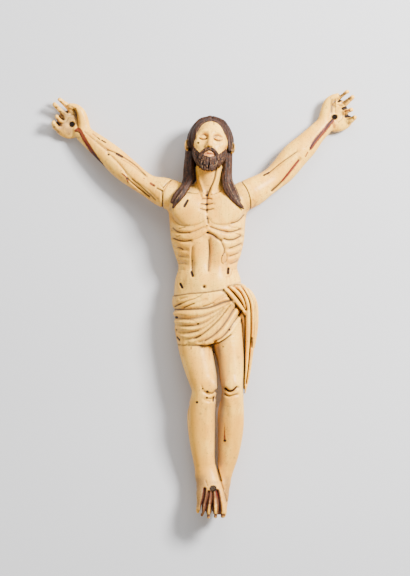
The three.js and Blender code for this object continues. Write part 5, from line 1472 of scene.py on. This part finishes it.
def keep_layers(mesh, block, layers, solid):
    """Gives each vertex what the material reads there: hair, beard, hollowness and each kind of paint."""
    spots = vertex_rows(mesh, "co")
    facing = vertex_rows(mesh, "normal")

    def keep(kind, value):
        mesh.attributes.new(kind, "FLOAT", "POINT").data.foreach_set("value", value.astype(np.float32))

    out = spots + LAYER_LIFT * facing
    bare, hair, beard = (sampled(layer, block, out) for layer in layers)
    keep("hair", np.clip((bare - np.minimum(hair, beard)) / HAIR_EDGE + 0.5, 0, 1))
    keep("beard", np.clip((hair - beard) / HAIR_EDGE + 0.5, 0, 1))
    for kind, reach, least in (("crease", CREASE_REACH, 1), ("hollow", HOLLOW_REACH, 2)):
        steps = max(least, round(reach / block.grain))
        keep(kind, sampled(crowding(solid, steps), block, spots + HOLLOW_LIFT * facing))
    upward = np.clip((facing[:, 2] - PAINT_START) / (PAINT_FULL - PAINT_START), 0, 1)
    for kind in PAINTS:
        layer = block.paint.get(kind)
        keep(kind, sampled(layer, block, spots) * upward if layer is not None else np.zeros(len(spots)))


def make_piece(name, node, low, high, grain):
    """One carving of the three, in metres, where it lies."""
    block = Block(low, high, grain)
    *layers, whole = carve(block)
    solid = sawn(block, whole, node)
    piece = skinned_piece(name, block, solid)
    mesh = piece.data
    keep_layers(mesh, block, layers, solid)
    spots = vertex_rows(mesh, "co")
    spots[:, 2] -= REST_FLAT_DEPTH
    mesh.vertices.foreach_set("co", (spots * MM).ravel())
    mesh.polygons.foreach_set("use_smooth", np.ones(len(mesh.polygons), bool))
    mesh.update()
    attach(piece, "root")
    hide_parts(node)
    return piece


class Shader:
    """A node tree, with short ways to add to it."""

    def __init__(self, name):
        self.material = bpy.data.materials.new(name)
        self.material.use_nodes = True
        self.tree = self.material.node_tree
        self.surface = self.tree.nodes["Principled BSDF"]

    def node(self, kind, **values):
        node = self.tree.nodes.new(kind)
        for key, value in values.items():
            if key in node.inputs:
                node.inputs[key].default_value = value
            else:
                setattr(node, key, value)
        return node

    def link(self, source, target):
        self.tree.links.new(source, target)

    def attribute(self, name):
        return self.node("ShaderNodeAttribute", attribute_name=name).outputs["Fac"]

    def math(self, operation, a, b=None, clamp=False):
        node = self.node("ShaderNodeMath", operation=operation, use_clamp=clamp)
        for socket, value in zip(node.inputs, (a, b)):
            if isinstance(value, (int, float)):
                socket.default_value = value
            elif value is not None:
                self.link(value, socket)
        return node.outputs[0]

    def times(self, a, b):
        return self.math("MULTIPLY", a, b)

    def between(self, value, low, high):
        """Zero at low, one at high, and smooth between them."""
        node = self.node("ShaderNodeMapRange", interpolation_type="SMOOTHSTEP")
        self.link(value, node.inputs["Value"])
        node.inputs["From Min"].default_value = low
        node.inputs["From Max"].default_value = high
        return node.outputs[0]

    def mixed(self, share, a, b):
        """Colour a where the share is zero and b where it is one."""
        node = self.node("ShaderNodeMix", data_type="RGBA")
        for socket, value in ((node.inputs[0], share), (node.inputs[6], a), (node.inputs[7], b)):
            if isinstance(value, tuple):
                socket.default_value = (*value, 1)
            elif isinstance(value, (int, float)):
                socket.default_value = value
            else:
                self.link(value, socket)
        return node.outputs[2]

    def noise(self, scale, stretch=(1, 1, 1), detail=3, seed=0.0):
        place = self.node("ShaderNodeMapping")
        place.inputs["Scale"].default_value = stretch
        place.inputs["Location"].default_value = (seed, 1.7 * seed, 0.3 * seed)
        self.link(self.node("ShaderNodeTexCoord").outputs["Object"], place.inputs["Vector"])
        node = self.node("ShaderNodeTexNoise", Scale=scale, Detail=detail, Roughness=0.55)
        self.link(place.outputs[0], node.inputs["Vector"])
        return node.outputs["Fac"]


CREAM = (0.96, 0.54, 0.075)
HONEY = (0.80, 0.34, 0.016)
DULL = (0.62, 0.29, 0.045)
TAN = (0.40, 0.23, 0.085)
AMBER = (0.16, 0.092, 0.038)
UMBER = (0.016, 0.006, 0.003)
HAIR_BROWN = (0.056, 0.019, 0.007)
HAIR_DARK = (0.011, 0.005, 0.003)
HAIR_WORN = (0.10, 0.045, 0.022)
BEARD_BROWN = (0.055, 0.019, 0.008)
BEARD_WORN = (0.20, 0.095, 0.035)
HAIR_BARE = (0.24, 0.14, 0.06)

# Age in the ivory, and patina with painted shade in its hollows and creases, each over the last: the pattern
# that it follows, where that starts to show and is full, how much it covers, and its colour.
AGING = [
    ("mottle", 0.45, 0.64, 0.5, HONEY),
    ("grain", 0.46, 0.7, 0.55, DULL),
    ("speckle", 0.56, 0.73, 0.65, AMBER),
    # Patina and painted shade: darker where the carving is hollow or creased.
    ("hollow", 0.47, 0.68, 0.7, TAN),
    ("crease", 0.52, 0.76, 0.9, AMBER),
]

# Each kind of paint, dirt and painted shade: its colour, how much it covers, and where its edge starts and
# ends.
COATS = [
    ("shade", (0.24, 0.165, 0.10), 0.85, 0.0, 1.0),
    ("gold", (0.68, 0.30, 0.025), 0.75, 0.0, 1.1),
    # Grime in small spots, and painted shade on the inner legs, the feet, the cloth and the right palm.
    ("grime_and_shade", (0.15, 0.086, 0.042), 0.75, 0.1, 1.1),
    ("orange", (0.36, 0.12, 0.014), 0.8, 0.2, 0.85),
    # Brown stain in carved lines, and painted shade between the thighs, shins and fingers and along the
    # cloth.
    ("stain_and_shade", (0.072, 0.036, 0.014), 0.9, 0.15, 0.85),
    ("rose", (0.42, 0.14, 0.07), 0.6, 0.2, 0.9),
    ("wine", (0.066, 0.016, 0.011), 0.93, 0.15, 0.7),
    ("red", (0.15, 0.014, 0.012), 0.9, 0.3, 0.65),
    ("blood", (0.105, 0.0025, 0.004), 0.95, 0.3, 0.7),
    ("dark_blood", (0.026, 0.006, 0.004), 0.97, 0.28, 0.62),
    # Near-black paint in the wounds, and painted shade in the nail holes and between the fingers.
    ("dark_paint_and_shade", UMBER, 1.0, 0.25, 0.6),
]
PAINTS = [*(coat[0] for coat in COATS), "rubbed"]

SMOOTH_IVORY = 0.28
WORN_IVORY = 0.46
PAINT_ROUGHNESS = 0.62


def ivory(name, seed, warmth):
    """Aged ivory, with stain in its lines, patina and painted shade in its hollows, painted hair and painted
    blood.
    """
    s = Shader(name)
    patches = s.noise(30, detail=4, seed=seed)
    speckle = s.noise(620, detail=3, seed=seed + 3)
    crease = s.attribute("crease")
    patterns = {
        "mottle": s.noise(110, (1, 0.5, 1), 4, seed + 1),
        "grain": s.noise(420, (1, 0.05, 1), 3, seed),
        "speckle": speckle,
        "hollow": s.attribute("hollow"),
        "crease": crease,
    }
    ragged = s.noise(650, detail=3, seed=seed + 5)
    torn = s.times(s.math("SUBTRACT", ragged, 0.5), 0.5)

    tone = s.math("ADD", s.between(patches, 0.36, 0.68), warmth, True)
    bone = s.mixed(s.times(tone, 0.8), CREAM, HONEY)
    for pattern, start, full, cover, colour in AGING:
        bone = s.mixed(s.times(s.between(patterns[pattern], start, full), cover), bone, colour)
    matt = 0.0
    for kind, colour, cover, start, end in COATS:
        share = s.times(s.between(s.math("ADD", s.attribute(kind), torn), start, end), cover)
        bone = s.mixed(share, bone, colour)
        matt = s.math("MAXIMUM", share, matt)

    def locks(brown, worn, rubbed):
        """Dark paint over carved hair, darkest in its creases as painted shade, and rubbed off its ridges."""
        strands = s.noise(700, (1, 0.2, 1), 3, seed + 7)
        coat = s.mixed(s.between(strands, 0.35, 0.7), HAIR_DARK, brown)
        # Painted shade: the paint is darkest in the creases between the strands.
        coat = s.mixed(s.between(crease, 0.5, 0.62), coat, HAIR_DARK)
        ridge = s.times(s.between(crease, 0.45, 0.36), s.between(speckle, 0.5, 0.66))
        coat = s.mixed(s.times(ridge, rubbed), coat, worn)
        patch = s.between(s.math("ADD", s.attribute("rubbed"), torn), 0.35, 0.6)
        return s.mixed(s.times(patch, 0.85), coat, HAIR_BARE)

    head_hair = locks(HAIR_BROWN, HAIR_WORN, 0.55)
    curls = s.mixed(s.attribute("beard"), head_hair, locks(BEARD_BROWN, BEARD_WORN, 0.8))
    covered = s.between(s.math("ADD", s.attribute("hair"), s.times(torn, 0.7)), 0.42, 0.6)
    s.link(s.mixed(covered, bone, curls), s.surface.inputs["Base Color"])

    rough = s.node("ShaderNodeMapRange")
    s.link(patches, rough.inputs["Value"])
    rough.inputs["To Min"].default_value = SMOOTH_IVORY
    rough.inputs["To Max"].default_value = WORN_IVORY
    dull = s.times(s.math("MAXIMUM", covered, matt), PAINT_ROUGHNESS)
    s.link(s.math("MAXIMUM", rough.outputs[0], dull), s.surface.inputs["Roughness"])
    s.surface.inputs["Specular IOR Level"].default_value = 0.2
    s.surface.inputs["Subsurface Weight"].default_value = 0.02
    s.surface.inputs["Subsurface Radius"].default_value = (1.0, 0.55, 0.25)
    s.surface.inputs["Subsurface Scale"].default_value = 0.002
    relief = s.math("ADD", s.times(patterns["grain"], 0.6), s.times(speckle, 0.5))
    bump = s.node("ShaderNodeBump", Strength=0.25, Distance=0.0004)
    s.link(relief, bump.inputs["Height"])
    s.link(bump.outputs[0], s.surface.inputs["Normal"])
    return s.material


# Each node that a piece replaces, the piece's block by its corners and grain, and its ivory's seed and
# warmth.
PIECES = [
    ("body", [-43, -218, BLOCK_FOOT], [59, 198, BLOCK_TOP], BODY_GRAIN, 0.0, 0.0),
    ("right_arm", [-155, 83, BLOCK_FOOT], [-25, 212, ARM_BLOCK_TOP], ARM_GRAIN, 4.0, 0.1),
    ("left_arm", [31, 83, BLOCK_FOOT], [156, 218, ARM_BLOCK_TOP], ARM_GRAIN, 9.0, -0.15),
]


def make_figure():
    """The body and both arms, each in its own ivory."""
    for node, low, high, grain, seed, warmth in PIECES:
        piece = make_piece(f"corpus_{node}", node, low, high, grain)
        slot = f"{node}_ivory"
        piece.data.materials.append(ivory(slot, seed, warmth))


PHOTO_HIGH = 0.576
MIDDLE = Vector((2, 16, 0)) * MM
CAMERA_HEIGHT = 5
CHEST_HEIGHT = 0.03
SENSOR_HEIGHT = 24
FLOOR_SIZE = 6

# Each light: its name, place, size and power.
LIGHTS = [
    ("key", (0.95, 0.7, 1.05), 0.4, 108),
    ("top", (0.1, 1.1, 1.0), 0.9, 14),
    ("fill", (-0.9, -0.5, 1.3), 1.2, 6),
]


def make_floor():
    """A plain pale floor that the figure lies on."""
    bpy.ops.mesh.primitive_plane_add(size=FLOOR_SIZE, location=(MIDDLE.x, MIDDLE.y, 0))
    floor = bpy.context.object
    floor.name = "floor"
    paper = Shader("floor_paper")
    paper.surface.inputs["Roughness"].default_value = 0.85
    cloud = paper.noise(3, detail=2)
    paper.link(paper.mixed(cloud, (0.47, 0.47, 0.48), (0.53, 0.53, 0.54)), paper.surface.inputs["Base Color"])
    floor.data.materials.append(paper.material)


def make_camera():
    """A camera that looks straight down, with the photograph's height across the chest."""
    camera = bpy.data.objects.new("camera", bpy.data.cameras.new("camera"))
    bpy.context.scene.collection.objects.link(camera)
    camera.location = (MIDDLE.x, MIDDLE.y, CAMERA_HEIGHT)
    camera.data.sensor_fit = "VERTICAL"
    camera.data.sensor_height = SENSOR_HEIGHT
    camera.data.lens = SENSOR_HEIGHT * (CAMERA_HEIGHT - CHEST_HEIGHT) / PHOTO_HIGH
    bpy.context.scene.camera = camera


def make_lights():
    """Soft studio lights that face the figure, and a dim even surround."""
    for name, place, size, power in LIGHTS:
        lamp = bpy.data.objects.new(name, bpy.data.lights.new(name, "AREA"))
        lamp.data.size = size
        lamp.data.energy = power
        lamp.location = place
        lamp.rotation_euler = (MIDDLE - lamp.location).to_track_quat("-Z", "Y").to_euler()
        bpy.context.scene.collection.objects.link(lamp)
    world = bpy.data.worlds.new("studio")
    world.use_nodes = True
    world.node_tree.nodes["Background"].inputs["Color"].default_value = (1, 0.98, 0.95, 1)
    world.node_tree.nodes["Background"].inputs["Strength"].default_value = 0.6
    bpy.context.scene.world = world


make_figure()
make_floor()
make_camera()
make_lights()
